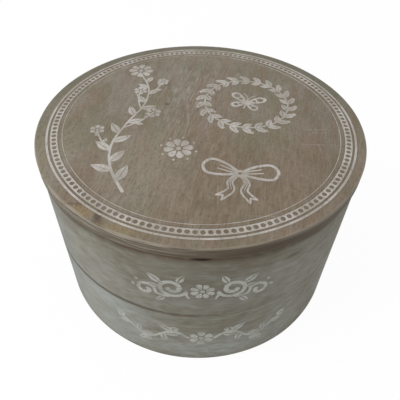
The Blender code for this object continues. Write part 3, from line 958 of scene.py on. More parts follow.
# Across each ring the wood darkens slowly and then turns pale at once.
RING_DARKENS, RING_ENDS = (0.35, 0.9, 0.75), (1.0, 0.92)


def solid_pine():
    """Pine with its grain along X, and growth rings about a line behind the block and below it."""
    material, tree = new_material("sanded_pine_block", PINE_ROUGHNESS)
    parts = add_node(tree, "SeparateXYZ", {}, {"Vector": millimetres(tree)}).outputs
    place = add_node(tree, "CombineXYZ", {}, {"X": parts["Z"], "Y": parts["X"], "Z": parts["Y"]})
    end_grain = add_node(tree, "CombineXYZ", {}, {"X": parts["Z"], "Y": parts["Y"]})
    wavy = {0: streaks(tree, place, *RING_WAVE_SIZE), 1: RING_WAVE}
    wavy[2] = distance_from(tree, end_grain, RING_MIDDLE)
    wavy = add_node(tree, "Math", {"operation": "MULTIPLY_ADD"}, wavy)
    rings = add_node(tree, "Math", {"operation": "DIVIDE"}, {0: wavy, 1: RING_SPACING})
    ring = add_node(tree, "Math", {"operation": "FRACT"}, {0: rings})
    late = weigh(tree, mask(tree, ring, *RING_DARKENS), mask(tree, ring, *RING_ENDS))
    face, noises = add_marks(tree, place, over(tree, PINE, PINE_LATEWOOD, late), PINE_MARKS)
    coat(tree, face, noises["fibres"], PINE_RELIEF)
    return material


print(f"the pine's growth rings are {RING_SPACING} mm apart")

# %% [markdown]
# ## Plated steel and nylon
# The bolt, nut, washer and screws are bright zinc plated. The plating was brightened in a bath, so it
# is smooth, but its passivation leaves faint blue and yellow clouds a few millimetres wide. Its real
# grain is a few hundredths of a millimetre, too fine to show, so it is drawn 0.25 mm wide. The spacers
# are moulded from natural nylon, which is milky and softly shiny.

# %% Materials of the fittings
ZINC_ROUGHNESS = 0.3
ZINC_ROUGHNESS_RANGE = (0.18, 0.43)
ZINC_GRAIN = 0.25
FITTING_RELIEF = 0.01
ZINC = "#c3c6c8"
ZINC_BLUE = "#b4bfca"
ZINC_YELLOW = "#cbc4ae"
ZINC_CLOUDS = {
    "blue": (ZINC_BLUE, 3.5, 3.5, 3.0, 0.45, 0.65, 0.6),
    "yellow": (ZINC_YELLOW, 5.0, 5.0, 3.0, 0.5, 0.7, 0.5),
}
NYLON_ROUGHNESS = 0.42
NYLON_IOR = 1.53
NYLON_GRAIN = 0.4
NYLON = "#e0ddd2"
NYLON_CLOUDY = "#d3cfc1"
NYLON_CLOUDS = {"clouds": (NYLON_CLOUDY, 2.5, 2.5, 3.0, 0.4, 0.7, 1.0)}


def zinc_plated_steel():
    """Bright metal with faint coloured clouds and a fine grain that varies its roughness."""
    material, tree = new_material("bright_zinc_plated_steel", ZINC_ROUGHNESS, metallic=1.0)
    mm = millimetres(tree)
    face, _ = add_marks(tree, mm, ZINC, ZINC_CLOUDS)
    grain = streaks(tree, mm, ZINC_GRAIN, ZINC_GRAIN, detail=2.0)
    roughness = stretch(tree, grain, *ZINC_ROUGHNESS_RANGE).outputs[0]
    tree.links.new(roughness, tree.nodes["Principled BSDF"].inputs["Roughness"])
    coat(tree, face, grain, FITTING_RELIEF)
    return material


def natural_nylon():
    """Milky plastic with faint clouds."""
    material, tree = new_material("moulded_natural_nylon", NYLON_ROUGHNESS, IOR=NYLON_IOR)
    mm = millimetres(tree)
    face, _ = add_marks(tree, mm, NYLON, NYLON_CLOUDS)
    coat(tree, face, streaks(tree, mm, NYLON_GRAIN, NYLON_GRAIN), FITTING_RELIEF)
    return material


print("the plating's roughness runs between", *ZINC_ROUGHNESS_RANGE)

# %% [markdown]
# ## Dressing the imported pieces
# These pieces already have the right shape. They get their material, and a weld and a bevel for the
# tiny rounding that sanding or plating leaves, because a perfectly sharp edge never catches light.

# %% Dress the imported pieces
WELD_DISTANCE = 0.01
BEVEL_FROM_ANGLE = 40
ROUNDINGS = {"plywood": 0.3, "block": 0.6, "screw": 0.08, "bolt": 0.12, "spacer": 0.1}


def dress(name, material, rounding):
    """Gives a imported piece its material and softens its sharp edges."""
    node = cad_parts[name]
    node.data.materials.clear()
    node.data.materials.append(material)
    weld = node.modifiers.new("weld", "WELD")
    weld.merge_threshold = WELD_DISTANCE * MM
    bevel = node.modifiers.new("softened_edges", "BEVEL")
    bevel.width = rounding * MM
    bevel.segments = 2
    bevel.limit_method = "ANGLE"
    bevel.angle_limit = math.radians(BEVEL_FROM_ANGLE)
    bevel.harden_normals = True


# Each sheet has the axis through it, the one across its grain and the one along it.
for name, axes in (
    ("lower_floor", "ZYX"),
    ("upper_floor", "ZYX"),
    ("lower_divider", "YZX"),
    ("upper_divider_long", "YZX"),
    ("upper_divider_cross", "XZY"),
):
    low, high = (corner["XYZ".index(axes[0])] for corner in corners(name))
    birch = raw_plywood("raw_birch_plywood_" + name, low, high, *axes)
    dress(name, birch, ROUNDINGS["plywood"])

pine, zinc, nylon = solid_pine(), zinc_plated_steel(), natural_nylon()
for tray in ("lower", "upper"):
    dress(tray + "_pivot_block", pine, ROUNDINGS["block"])
    for side in ("left", "right"):
        dress(f"{tray}_screw_{side}", zinc, ROUNDINGS["screw"])
for name in ("pivot_bolt", "bolt_washer", "lock_nut"):
    dress(name, zinc, ROUNDINGS["bolt"])
for name in ("tray_spacer", "lid_spacer"):
    dress(name, nylon, ROUNDINGS["spacer"])
print("dressed", sum(1 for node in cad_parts.values() if node.modifiers), "packed pieces")

# %% [markdown]
# ## Drawing flat ornament
# Paint has almost no thickness, but its outline is a real shape. Each motif is drawn in millimetres
# as overlapping outlines: ribbons for stems, pointed ovals for leaves and round dots. An image could
# carry the print as well, but outlines stay sharp close up and need no unwrapping.

# %% Dots and leaves
DOT_STEPS = 16
SMALL_DOT_STEPS = 10
LEAF_STEPS = 8
LEAF_FULLNESS = 0.8
LEAF_VEIN = 0.4
VEIN_ENDS = (0.96, 0.04)
THINNEST_HALF = 0.05


def place_outline(outline, at, angle):
    """Turns an outline by an angle in degrees and moves it."""
    c, s = math.cos(math.radians(angle)), math.sin(math.radians(angle))
    return [(at[0] + c * x - s * y, at[1] + s * x + c * y) for x, y in outline]


def mirrored(outline, side):
    """An outline, mirrored left to right if side is -1."""
    return [(side * x, y) for x, y in outline]


def dot(at, radius, steps=DOT_STEPS):
    """A circle, which also serves as a hole or a line's round end."""
    turns = [2 * math.pi * i / steps for i in range(steps)]
    return [(at[0] + radius * math.cos(t), at[1] + radius * math.sin(t)) for t in turns]


def leaf(at, angle, length, width, vein=LEAF_VEIN):
    """A pointed leaf that grows from a point, as two halves beside a bare vein."""
    shares = [i / LEAF_STEPS for i in range(LEAF_STEPS + 1)]
    thinnest = vein / 2 + THINNEST_HALF
    swell = [max(width / 2 * math.sin(math.pi * t**LEAF_FULLNESS), thinnest) for t in shares]
    halves = []
    for side in (1, -1):
        edge = [(t * length, side * s) for t, s in zip(shares, swell)]
        back = [(length * end, side * vein / 2) for end in VEIN_ENDS]
        halves.append(place_outline(edge + back, at, angle))
    return halves


print("a leaf has", sum(len(half) for half in leaf((0, 0), 0, 10, 4)), "corners")

# %% Flowers
PETAL_STEPS = 16
PETAL_FOOT = 0.35

# A flower's parts as shares of its radius.
FLOWER_EYE, PETAL_START, PETAL_LENGTH, PETAL_WIDTH = 0.18, 0.28, 0.72, 1.75


def petal(at, angle, length, width):
    """A round-tipped petal that grows from a point."""
    outline = []
    for i in range(PETAL_STEPS):
        t = 2 * math.pi * i / PETAL_STEPS
        reach = (1 - math.cos(t)) / 2
        outline.append((length * reach, width / 2 * math.sin(t) * (PETAL_FOOT + (1 - PETAL_FOOT) * reach)))
    return place_outline(outline, at, angle)


def flower(at, radius, petals, turn=0.0):
    """A flower seen from the front: petals round a small eye."""
    width = radius * PETAL_WIDTH * math.sin(math.pi / petals)
    shapes = [dot(at, radius * FLOWER_EYE)]
    for i in range(petals):
        angle = turn + 360 * i / petals
        start = place_outline([(radius * PETAL_START, 0)], at, angle)[0]
        shapes.append(petal(start, angle, radius * PETAL_LENGTH, width))
    return shapes


print("a flower of 6 petals has", len(flower((0, 0), 5.0, 6)), "outlines")

# %% [markdown]
# ## Stems
# A stem is a path: a curve through a few knots, or a spiral. A ribbon gives the path its width, and
# leaves grow from it on alternate sides. Blender's own curves could draw the paths, but plain points
# can go straight on into the outlines.

# %% Paths
CURVE_STEPS = 8
SPIRAL_STEP = 15
FEWEST_STEPS = 8


def curve_through(knots):
    """A Catmull-Rom curve through the knots."""
    ends = [Vector(knot) for knot in (knots[0], *knots, knots[-1])]
    path = []
    for a, b, c, d in zip(ends, ends[1:], ends[2:], ends[3:]):
        for i in range(CURVE_STEPS):
            t = i / CURVE_STEPS
            bend = (2 * a - 5 * b + 4 * c - d) * t**2 + (3 * b - a - 3 * c + d) * t**3
            path.append((2 * b + (c - a) * t + bend) / 2)
    return path + [ends[-1]]


def spiral(middle, start_radius, end_radius, start_angle, end_angle):
    """A path that winds from one radius and angle, in degrees, to another."""
    steps = max(FEWEST_STEPS, round(abs(end_angle - start_angle) / SPIRAL_STEP))
    path = []
    for i in range(steps + 1):
        t = i / steps
        radius = start_radius + (end_radius - start_radius) * t
        angle = start_angle + (end_angle - start_angle) * t
        path.append(Vector(place_outline([(radius, 0)], middle, angle)[0]))
    return path


def heading(path, i):
    """The direction of a path at one of its points."""
    return (path[min(i + 1, len(path) - 1)] - path[max(i - 1, 0)]).normalized()


def bearing(path, i):
    """The same direction as an angle in degrees."""
    along = heading(path, i)
    return math.degrees(math.atan2(along.y, along.x))


def step_left(path, i, length):
    """A step of this length to the left of a path at one of its points."""
    along = heading(path, i)
    return Vector((-along.y, along.x)) * length


print("a curve through 3 knots has", len(curve_through([(0, 0), (5, 5), (10, 0)])), "points")

# %% Ribbons and leaves along a path
LEAVES_SHRINK = 0.35


def ribbon(path, start_width, end_width):
    """A stroke along a path, as overlapping pieces with round ends."""
    sides = []
    for i, point in enumerate(path):
        half = (start_width + (end_width - start_width) * i / (len(path) - 1)) / 2
        side = step_left(path, i, half)
        sides.append((point + side, point - side))
    pieces = [[a[0], a[1], b[1], b[0]] for a, b in zip(sides, sides[1:])]
    ends = ((path[0], start_width), (path[-1], end_width))
    return pieces + [dot(end, width / 2, SMALL_DOT_STEPS) for end, width in ends]


def leaves_along(path, first, last, count, length, width, spread, vein=LEAF_VEIN):
    """Leaves that grow from a path on alternate sides, smaller towards its end."""
    shapes = []
    for k in range(count):
        share = k / max(count - 1, 1)
        i = round((first + (last - first) * share) * (len(path) - 1))
        size = 1 - LEAVES_SHRINK * share
        side = 1 if k % 2 else -1
        shapes += leaf(path[i], bearing(path, i) + side * spread, length * size, width * size, vein)
    return shapes


print(f"leaves shrink by {LEAVES_SHRINK:.0%} along a stem")

# %% [markdown]
# ## Joining outlines and laying paint
# A Delaunay triangulation joins the overlapping outlines into one flat mesh with no doubled faces,
# and it leaves out what a hole covers. Boolean modifiers could join them too, but hundreds of flat
# pieces make them slow. The flat mesh is then laid on the lid or wrapped round a wall.
# Every triangle gets a twin just under the surface, and a thin wall closes each open edge. So each
# printed shape is a closed solid, like everything else here.

# %% Join outlines
POINT_MERGE = 1e-4
WHOLE_AREA = 0


def upright_cuts(points, spacing):
    """The ends of evenly spaced upright lines across a drawing, in pairs."""
    low, high = min(p.x for p in points), max(p.x for p in points)
    bottom, top = min(p.y for p in points), max(p.y for p in points)
    ends = []
    for i in range(1, int((high - low) / spacing) + 1):
        x = low + i * spacing
        ends += [Vector((x, bottom)), Vector((x, top))]
    return ends


def join_outlines(shapes, holes=(), guides=(), loose=(), cut_every=0.0):
    """Joins overlapping outlines, less the holes, into points and triangles.

    Guides are outlines whose edges and points are kept, and loose points are kept too.
    """
    points, faces, edges = [], [], []
    for outline in [*shapes, *holes, *guides]:
        pairs = zip(outline, [*outline[1:], outline[0]])
        if sum(a[0] * b[1] - b[0] * a[1] for a, b in pairs) < 0:
            outline = outline[::-1]
        faces.append(list(range(len(points), len(points) + len(outline))))
        points += [Vector(p) for p in outline]
    if cut_every:
        ends = upright_cuts(points, cut_every)
        edges = [(len(points) + i, len(points) + i + 1) for i in range(0, len(ends), 2)]
        points += ends
    points += [Vector(p) for p in loose]
    joined = delaunay_2d_cdt(points, edges, faces, WHOLE_AREA, POINT_MERGE, True)
    found, triangles, owners = joined[0], joined[2], joined[5]
    in_shape = set(range(len(shapes)))
    in_hole = set(range(len(shapes), len(shapes) + len(holes)))
    kept = [t for t, o in zip(triangles, owners) if in_shape.intersection(o) and not in_hole.intersection(o)]
    return found, kept


print(len(join_outlines([dot((0, 0), 1.0)])[1]), "triangles in a dot")

# %% Lay paint
PAINT_SINK = 0.03


def lay_on_lid(point, lift):
    """A drawn point on the lid, lifted above its face."""
    return (point[0], point[1], LID_FACE + lift)


def lay_on_wall(point, lift):
    """Wraps a drawn point, whose X is the length round the wall from the front."""
    turn = point[0] / WALL_RADIUS
    radius = wall_face(turn - math.pi / 2, point[1]) + lift
    return (radius * math.sin(turn), -radius * math.cos(turn), point[1])


def paint(name, drawing, lay, thickness, material, body):
    """Lays a joined drawing on a surface as a thin closed layer of paint."""
    found, triangles = drawing
    used = sorted({i for t in triangles for i in t})
    place = {old: new for new, old in enumerate(used)}
    count = len(used)
    points = [lay(found[i], lift) for lift in (thickness, -PAINT_SINK) for i in used]
    faces, edges = [], set()
    for triangle in triangles:
        a, b, c = (place[i] for i in triangle)
        faces += [(a, b, c), (c + count, b + count, a + count)]
        edges |= {(a, b), (b, c), (c, a)}
    for first, second in sorted(edges):
        if (second, first) not in edges:
            faces.append((first, first + count, second + count, second))
    made = new_object(name, points, faces, material)
    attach(made, body)
    print(name, len(triangles), "triangles")
    return made


print(f"paint reaches {PAINT_SINK} mm into the face below it")

# %% [markdown]
# ## Felt in the trays
# Each compartment is lined with a sheet of dense wool felt, cut to shape and glued down. Felt is a mat
# of short fibres that lie every way, so the colour is made from thin noise marks in three directions,
# and a sheen stands for the fibre ends that stick up. Hair could be grown on it, but from here nobody
# would see it. Real fibres are 0.02 mm thick, too fine to show, so their marks are 0.35 mm wide.

# %% The felt's material
FELT_ROUGHNESS = 0.95
FELT_RELIEF = 0.25
FELT_TURNS = (0, 60, 120)
FELT_SHEEN = {"Sheen Weight": 0.3, "Sheen Roughness": 0.5}
FELT_FIBRE = (0.35, 2.6)
FELT_TAUPE = "#8b7f72"
FELT_DARK = "#6f6459"
FELT_PALE = "#a99d8e"
FIBRE_ON_TOP, NO_FIBRE_ON_TOP = (0.56, 0.72, 0.8), (0.42, 0.3, 0.7)


def furthest(tree, values, operation):
    """The highest (MAXIMUM) or lowest (MINIMUM) of several values."""
    found = values[0]
    for value in values[1:]:
        found = add_node(tree, "Math", {"operation": operation}, {0: found, 1: value})
    return found


def wool_felt():
    """Short fibres in three directions, pale where one lies on top and dark where none does."""
    material, tree = new_material("dense_wool_felt", FELT_ROUGHNESS, **FELT_SHEEN)
    mm = millimetres(tree)
    marks = []
    for turn in FELT_TURNS:
        marks.append(streaks(tree, turned(tree, mm, math.radians(turn)), *FELT_FIBRE, detail=2.0))
    highest, lowest = furthest(tree, marks, "MAXIMUM"), furthest(tree, marks, "MINIMUM")
    face = over(tree, FELT_TAUPE, FELT_PALE, mask(tree, highest, *FIBRE_ON_TOP))
    face = over(tree, face, FELT_DARK, mask(tree, lowest, *NO_FIBRE_ON_TOP))
    coat(tree, face, highest, FELT_RELIEF)
    return material


print(f"a felt fibre's mark is {FELT_FIBRE[0]} by {FELT_FIBRE[1]} mm")

# %% [markdown]
# ## The felt's outline
# A pad's outline is the compartment's: the round wall, cut off by the dividers, with a notch round the
# pivot block. Its cut edge is soft and its top is never quite flat. So the outline gets rings of points
# inside it, which round the edge off, and a grid of points lets the top wander.

# %% The felt's outline
FELT_CLEARANCE = 0.5
FELT_RADIUS = HOOP_BORE - FELT_CLEARANCE
FELT_EDGE_RINGS = (0.0, 0.35, 0.8)
TOUCHING = 0.01
BLOCK_CORNER = 5.0
BLOCK_CORNER_STEPS = 6
BLOCK_LOW, BLOCK_HIGH = corners("upper_pivot_block")


def keep_side(outline, axis, limit, below):
    """Cuts a convex outline along a line across X (axis 0) or Y (axis 1)."""
    kept = []
    for a, b in zip(outline, [*outline[1:], outline[0]]):
        inside = (a[axis] <= limit) == below
        if inside:
            kept.append(a)
        if inside != ((b[axis] <= limit) == below):
            share = (limit - a[axis]) / (b[axis] - a[axis])
            kept.append(tuple(p + (q - p) * share for p, q in zip(a, b)))
    return kept


def felt_outline(low, high, inset):
    """The round wall, cut off by the dividers, and smaller by inset all round."""
    radius = FELT_RADIUS - inset
    outline = dot((0, 0), radius, ROUND_STEPS)
    for axis in (0, 1):
        for limit, below in ((high[axis] - inset, True), (low[axis] + inset, False)):
            if abs(limit) < radius - TOUCHING:
                outline = keep_side(outline, axis, limit, below)
    return outline


def block_notch(grow):
    """The pivot block's outline, wider by grow all round, open towards the wall."""
    half, front, far = BLOCK_HIGH.x + grow, BLOCK_LOW.y - grow, WALL_RADIUS + grow
    notch = [(half, far), (-half, far)]
    for side, start in ((-1, 180), (1, 270)):
        middle = (side * (half - BLOCK_CORNER), front + BLOCK_CORNER)
        for step in range(BLOCK_CORNER_STEPS + 1):
            turn = start + 90 * step / BLOCK_CORNER_STEPS
            notch += place_outline([(BLOCK_CORNER, 0)], middle, turn)
    return notch


print(f"the felt's radius is {FELT_RADIUS:.1f} mm")

# %% Lay the felt
FELT_GRID = 4.0
FELT_EDGE_DROP = 0.55
FELT_EDGE_ANGLE = 50
FELT_WANDER = 0.18
FELT_WANDER_LENGTH = 9.0


def from_edge(point, low, high):
    """How far a point lies inside a pad's outline."""
    x, y = point
    past_side, past_front = abs(x) - BLOCK_HIGH.x, BLOCK_LOW.y - y
    if past_side > 0 and past_front > 0:
        past_block = math.hypot(past_side, past_front)
    else:
        past_block = max(past_side, past_front)
    edges = (FELT_RADIUS - math.hypot(x, y), x - low.x, high.x - x, y - low.y, high.y - y)
    return min(*edges, past_block - FELT_CLEARANCE)


def lay_felt(name, body, material):
    """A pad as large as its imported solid, with a soft edge and a gently uneven top."""
    low, high = corners(name)
    outlines = [felt_outline(low, high, inset) for inset in FELT_EDGE_RINGS]
    notches = [block_notch(FELT_CLEARANCE + inset) for inset in FELT_EDGE_RINGS]
    steps = range(-int(FELT_RADIUS / FELT_GRID), int(FELT_RADIUS / FELT_GRID) + 1)
    grid = [(i * FELT_GRID, j * FELT_GRID) for i in steps for j in steps]
    grid = [point for point in grid if from_edge(point, low, high) > 2 * FELT_EDGE_RINGS[-1]]
    guides = outlines[1:] + notches[1:]
    found, triangles = join_outlines(outlines[:1], notches[:1], guides=guides, loose=grid)

    def lay(point, lift):
        if lift < 0:
            return (point[0], point[1], low.z)
        inside = max(0.0, min(1.0, from_edge(point, low, high) / FELT_EDGE_RINGS[-1]))
        edge = FELT_EDGE_DROP * (1 - math.sqrt(1 - (1 - inside) ** 2))
        way = Vector((point[0] / FELT_WANDER_LENGTH, point[1] / FELT_WANDER_LENGTH, low.z))
        return (point[0], point[1], high.z - edge - FELT_WANDER * (0.5 + 0.5 * noise.noise(way)))

    pad = paint(name.replace("felt", "wool_felt"), (found, triangles), lay, 1.0, material, body)
    shade(pad, FELT_EDGE_ANGLE)
    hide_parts(name)
    corners_of = [[found[i] for i in triangle] for triangle in triangles]


felt = wool_felt()
for side in ("left", "right"):
    for row in ("front", "back"):
        lay_felt(f"upper_felt_{row}_{side}", "upper_tray", felt)
for row in ("front", "back"):
    lay_felt(f"lower_felt_{row}", "base", felt)

# %% [markdown]
# ## The print's material
# The white is a thin matt ink, printed through a screen. It never covers fully: the grain shows as
# fine gaps in it, and handling has rubbed it in patches. So its colour is mixed with the very same
# wood that lies under it. The walls' ornament is fainter, because it was printed on the rough wash,
# and it has faded in patches too. Making the ink see-through would show the wood as well, but mixing
# the colours looks the same from every side.

# %% Printed white
INK_RELIEF = {"lid": 0.04, "wall": 0.06}
LID_INK_ROUGHNESS = 0.6
WALL_INK_ROUGHNESS = 0.7
INK_WHITE = "#bfbab4"
INK_THIN = "#aca69d"
WALL_INK = "#b0b1aa"
INK_THIN_MARKS = {"thin": (INK_THIN, 14, 18, 2.0, 0.4, 0.62, 1.0)}
INK_WORN_SIZE = (1.3, 3.0, 4.0)
LID_INK_WORN = (0.52, 0.72, 0.6)
WALL_INK_WORN = (0.48, 0.7, 0.6)
WALL_INK_FADED = (9, 13, 2.0, 0.46, 0.62, 0.45)
INK_WORN_AT_BACK = (20, 110, 0.22)


def printed_on_lid():
    """White ink on the stained lid, more worn towards the back."""
    material, tree = new_material("screen_printed_white_on_lid", LID_INK_ROUGHNESS, **CHALKY)
    mm = millimetres(tree)
    wood, fibres = stained_face(tree, mm)
    ink, _ = add_marks(tree, mm, INK_WHITE, INK_THIN_MARKS)
    towards_back = add_node(tree, "SeparateXYZ", {}, {"Vector": mm}).outputs["Y"]
    ink = over(tree, ink, wood, mask(tree, towards_back, *INK_WORN_AT_BACK))
    ink, _ = add_marks(tree, mm, ink, {"worn": (wood, *INK_WORN_SIZE, *LID_INK_WORN)})
    coat(tree, ink, fibres, INK_RELIEF["lid"])
    return material


def printed_on_wall():
    """White ink on the washed walls, faded in patches."""
    material, tree = new_material("screen_printed_white_on_wall", WALL_INK_ROUGHNESS, **CHALKY)
    mm = millimetres(tree)
    place = round_place(tree, mm)[0]
    wood, fibres = whitewashed_face(tree, place)
    ink, _ = add_marks(tree, place, WALL_INK, {"faded": (wood, *WALL_INK_FADED)})
    ink, _ = add_marks(tree, mm, ink, {"worn": (wood, *INK_WORN_SIZE, *WALL_INK_WORN)})
    coat(tree, ink, fibres, INK_RELIEF["wall"])
    return material


LID_PRINT = printed_on_lid()
WALL_PRINT = printed_on_wall()
print("inks:", LID_PRINT.name, "and", WALL_PRINT.name)

# %% Print a motif
WALL_PRINT_THICKNESS = 0.08
WRAP_STRIP = 2.0


def print_on_lid(name, shapes, holes=()):
    """Prints overlapping outlines on the lid, less the holes."""
    drawing = join_outlines(shapes, holes)
    paint(name, drawing, lay_on_lid, PRINT_THICKNESS, LID_PRINT, "lid")


def print_on_wall(name, shapes, body):
    """Prints overlapping outlines on a wall, cut into upright strips that can follow its curve."""
    drawing = join_outlines(shapes, cut_every=WRAP_STRIP)
    paint(name, drawing, lay_on_wall, WALL_PRINT_THICKNESS, WALL_PRINT, body)


print(f"the print is {PRINT_THICKNESS} mm thick on the lid and {WALL_PRINT_THICKNESS} mm on the walls")

# %% [markdown]
# ## The printed border
# A border of small rings runs round the lid: a solid line outside, a band with a row of round
# openings inside it, and a hair line. This kind of beaded border is an old, common ornament. Its
# radii were measured from the photograph, and its rings were counted: about 150 of them. The screen
# was laid on by hand, so the whole border stands about 0.7 mm off the lid's middle.

# %% Print the border
BEAD_COUNT = 150
BEAD_CENTRE = 98.05
BEAD_HOLE_RADIUS = 1.5
BEAD_STEPS = 14
BORDER_STEPS = 300
BORDER = {
    "printed_outer_line": (101.85, 103.25),
    "printed_bead_band": (95.75, 100.35),
    "printed_hair_line": (92.6, 93.0),
}

for name, (inner, outer) in BORDER.items():
    holes = [dot(BORDER_MIDDLE, inner, BORDER_STEPS)]
    if inner < BEAD_CENTRE < outer:
        for i in range(BEAD_COUNT):
            middle = place_outline([(BEAD_CENTRE, 0)], BORDER_MIDDLE, 360 * i / BEAD_COUNT)[0]
            holes.append(dot(middle, BEAD_HOLE_RADIUS, BEAD_STEPS))
    print_on_lid(name, [dot(BORDER_MIDDLE, outer, BORDER_STEPS)], holes)

# %% [markdown]
# ## The ornament on the lid
# Inside the border stand four plain garden motifs: a tall flowering sprig, a leafy wreath with a
# butterfly, a bow and a small rosette. Each is built from the same few outlines, and a loop repeats
# what repeats. The sprig comes first: a leaning stem whose twigs each end in a flower.

# %% A flowering sprig
SPRIG_KNOTS = ((-44, -70), (-54, -50), (-57, -28), (-50, -4), (-41, 18), (-40, 40), (-47, 58))
SPRIG_TIP_FLOWER = ((-48.5, 65), 9.5, 8)
TWIG_PETALS = 6

# Leaves are given by the shares of a path where they start and end, how many there are, their length
# and width, and how far they spread from it in degrees.
STEM_WIDTHS, STEM_LEAVES = (2.0, 1.0), (0.08, 0.9, 13, 15, 6.6, 48)
TWIG_WIDTHS, TWIG_LEAVES = (1.1, 0.9), (0.35, 0.7, 2, 6, 2.6, 50)

# Each twig is its place along the stem, its lean in degrees, its length and its flower's radius.
SPRIG_TWIGS = (
    (0.30, 38, 24, 5.0),
    (0.46, -36, 26, 5.5),
    (0.62, 40, 24, 5.0),
    (0.78, -40, 20, 4.5),
)
TWIG_BENDS = ((0.5, 0.9), (1.0, 0.7))


def sprig():
    """A leaning stem with alternate leaves, flowering twigs and a large flower at its tip."""
    stem = curve_through(SPRIG_KNOTS)
    shapes = ribbon(stem, *STEM_WIDTHS)
    shapes += leaves_along(stem, *STEM_LEAVES)
    for share, lean, length, size in SPRIG_TWIGS:
        i = round(share * (len(stem) - 1))
        knots = [stem[i]]
        for reach, bend in TWIG_BENDS:
            knots.append(place_outline([(length * reach, 0)], stem[i], bearing(stem, i) + lean * bend)[0])
        twig = curve_through(knots)
        shapes += ribbon(twig, *TWIG_WIDTHS)
        shapes += leaves_along(twig, *TWIG_LEAVES)
        shapes += flower(twig[-1], size, TWIG_PETALS, lean)
    return shapes + flower(*SPRIG_TIP_FLOWER)


print_on_lid("printed_sprig", sprig())

# %% [markdown]
# ## A wreath with a butterfly
# The wreath is a thin ring with a pair of leaves and a berry at each step round it. The butterfly in
# its middle has round openings in its wings, through which the wood shows.

# %% A wreath with a butterfly
WREATH_MIDDLE = (32, 24)
WREATH_RADIUS = 30.0
WREATH_PAIRS = 22
WREATH_LINE = 1.2
WREATH_LEAVES = ((-38, 10.0, 4.6), (40, 8.5, 4.2))
BERRY_OUT, BERRY_TURN, BERRY_RADIUS = 5.2, -5, 1.2
MARKING_STEPS = 12

# Each wing is its angle, length and width, and each marking its place along the wing and its radius.
BUTTERFLY_SIZE, BUTTERFLY_TURN = 16.0, -18
WINGS = ((38, 1.0, 0.62), (-34, 0.72, 0.55))
WING_MARKINGS = ((0.68, 0.15), (0.4, 0.09))
FEELER, FEELER_WIDTHS = ((0, 0.25), (0.12, 0.55), (0.3, 0.72)), (0.6, 0.5)
BUTTERFLY_BODY, BODY_WIDTHS = ((0, -0.45), (0, 0), (0, 0.3)), (1.0, 1.6)


def wreath():
    """A thin ring with a pair of leaves and a berry at each step round it."""
    ring = spiral(WREATH_MIDDLE, WREATH_RADIUS, WREATH_RADIUS, 0, 360)
    shapes = ribbon(ring, WREATH_LINE, WREATH_LINE)
    for k in range(WREATH_PAIRS):
        turn = 360 * k / WREATH_PAIRS
        at = place_outline([(WREATH_RADIUS, 0)], WREATH_MIDDLE, turn)[0]
        for lean, length, width in WREATH_LEAVES:
            shapes += leaf(at, turn + 90 + lean, length, width)
        berry = place_outline([(WREATH_RADIUS + BERRY_OUT, 0)], WREATH_MIDDLE, turn + BERRY_TURN)[0]
        shapes.append(dot(berry, BERRY_RADIUS, MARKING_STEPS))
    return shapes


def butterfly(middle, size, turn):
    """Two pairs of open wings with round openings, a slim body and feelers."""
    shapes, holes = [], []
    for side in (1, -1):
        for angle, length, width in WINGS:
            way = angle if side > 0 else 180 - angle
            shapes.append(place_outline(petal((0, 0), way, size * length, size * width), middle, turn))
            for reach, radius in WING_MARKINGS:
                marking = place_outline([(size * length * reach, 0)], (0, 0), way)
                marking = place_outline(marking, middle, turn)[0]
                holes.append(dot(marking, size * radius * length, MARKING_STEPS))
        feeler = [(side * size * x, size * y) for x, y in FEELER]
        shapes += ribbon(curve_through(place_outline(feeler, middle, turn)), *FEELER_WIDTHS)
    body = place_outline([(size * x, size * y) for x, y in BUTTERFLY_BODY], middle, turn)
    return shapes + ribbon(curve_through(body), *BODY_WIDTHS), holes


butterfly_shapes, butterfly_holes = butterfly(WREATH_MIDDLE, BUTTERFLY_SIZE, BUTTERFLY_TURN)
print_on_lid("printed_wreath", wreath() + butterfly_shapes, butterfly_holes)

# %% [markdown]
# ## A bow and a rosette
# The bow is drawn as lines: two loops with folds, two tails with notched ends and a knot. The rosette
# is a flower with a ring of dots round it.

# %% A bow
BOW_MIDDLE = (24, -52)
BOW_TILT = -8
BOW_KNOT_RADIUS, BOW_KNOT_HOLE = 3.2, 1.1
LOOP_KNOTS = ((0, 0), (8, 7), (18, 10.5), (23, 5), (20, -2), (10, -2.5), (0, 0))
LOOP_FOLDS = (((1, 0.6), (7, 3.4), (12.5, 5.6)), ((1, 0), (8, 1.1), (14, 2.6)))
TAIL_KNOTS = ((1, -1), (5, -8), (4, -15), (10, -22))
TAIL_WIDTH = 5.0
TAIL_START = 0.35
TAIL_NOTCH = 3.0

# Each line's width at its start and at its end.
LOOP_LINE, LOOP_FOLD_LINE = (2.0, 2.0), (1.3, 0.8)
TAIL_LINE, NOTCH_LINE, TAIL_FOLD_LINE = (1.2, 1.3), (1.2, 1.2), (0.8, 0.5)


def bow_line(knots, side):
    """A curve in the bow's own place and tilt, on one of its two sides."""
    return curve_through(place_outline(mirrored(knots, side), BOW_MIDDLE, BOW_TILT))


def bow_tail(side):
    """A tail that widens towards its notched end, with a fold along it."""
    tail = bow_line(TAIL_KNOTS, side)
    edges = [[], []]
    for i, point in enumerate(tail):
        half = TAIL_WIDTH / 2 * (TAIL_START + (1 - TAIL_START) * i / (len(tail) - 1))
        for edge, sign in zip(edges, (1, -1)):
            edge.append(point + step_left(tail, i, half * sign))
    notch = tail[-1] - heading(tail, len(tail) - 1) * TAIL_NOTCH
    shapes = []
    for edge in edges:
        shapes += ribbon(edge, *TAIL_LINE) + ribbon([edge[-1], notch], *NOTCH_LINE)
    return shapes + ribbon(tail[: len(tail) * 2 // 3], *TAIL_FOLD_LINE)


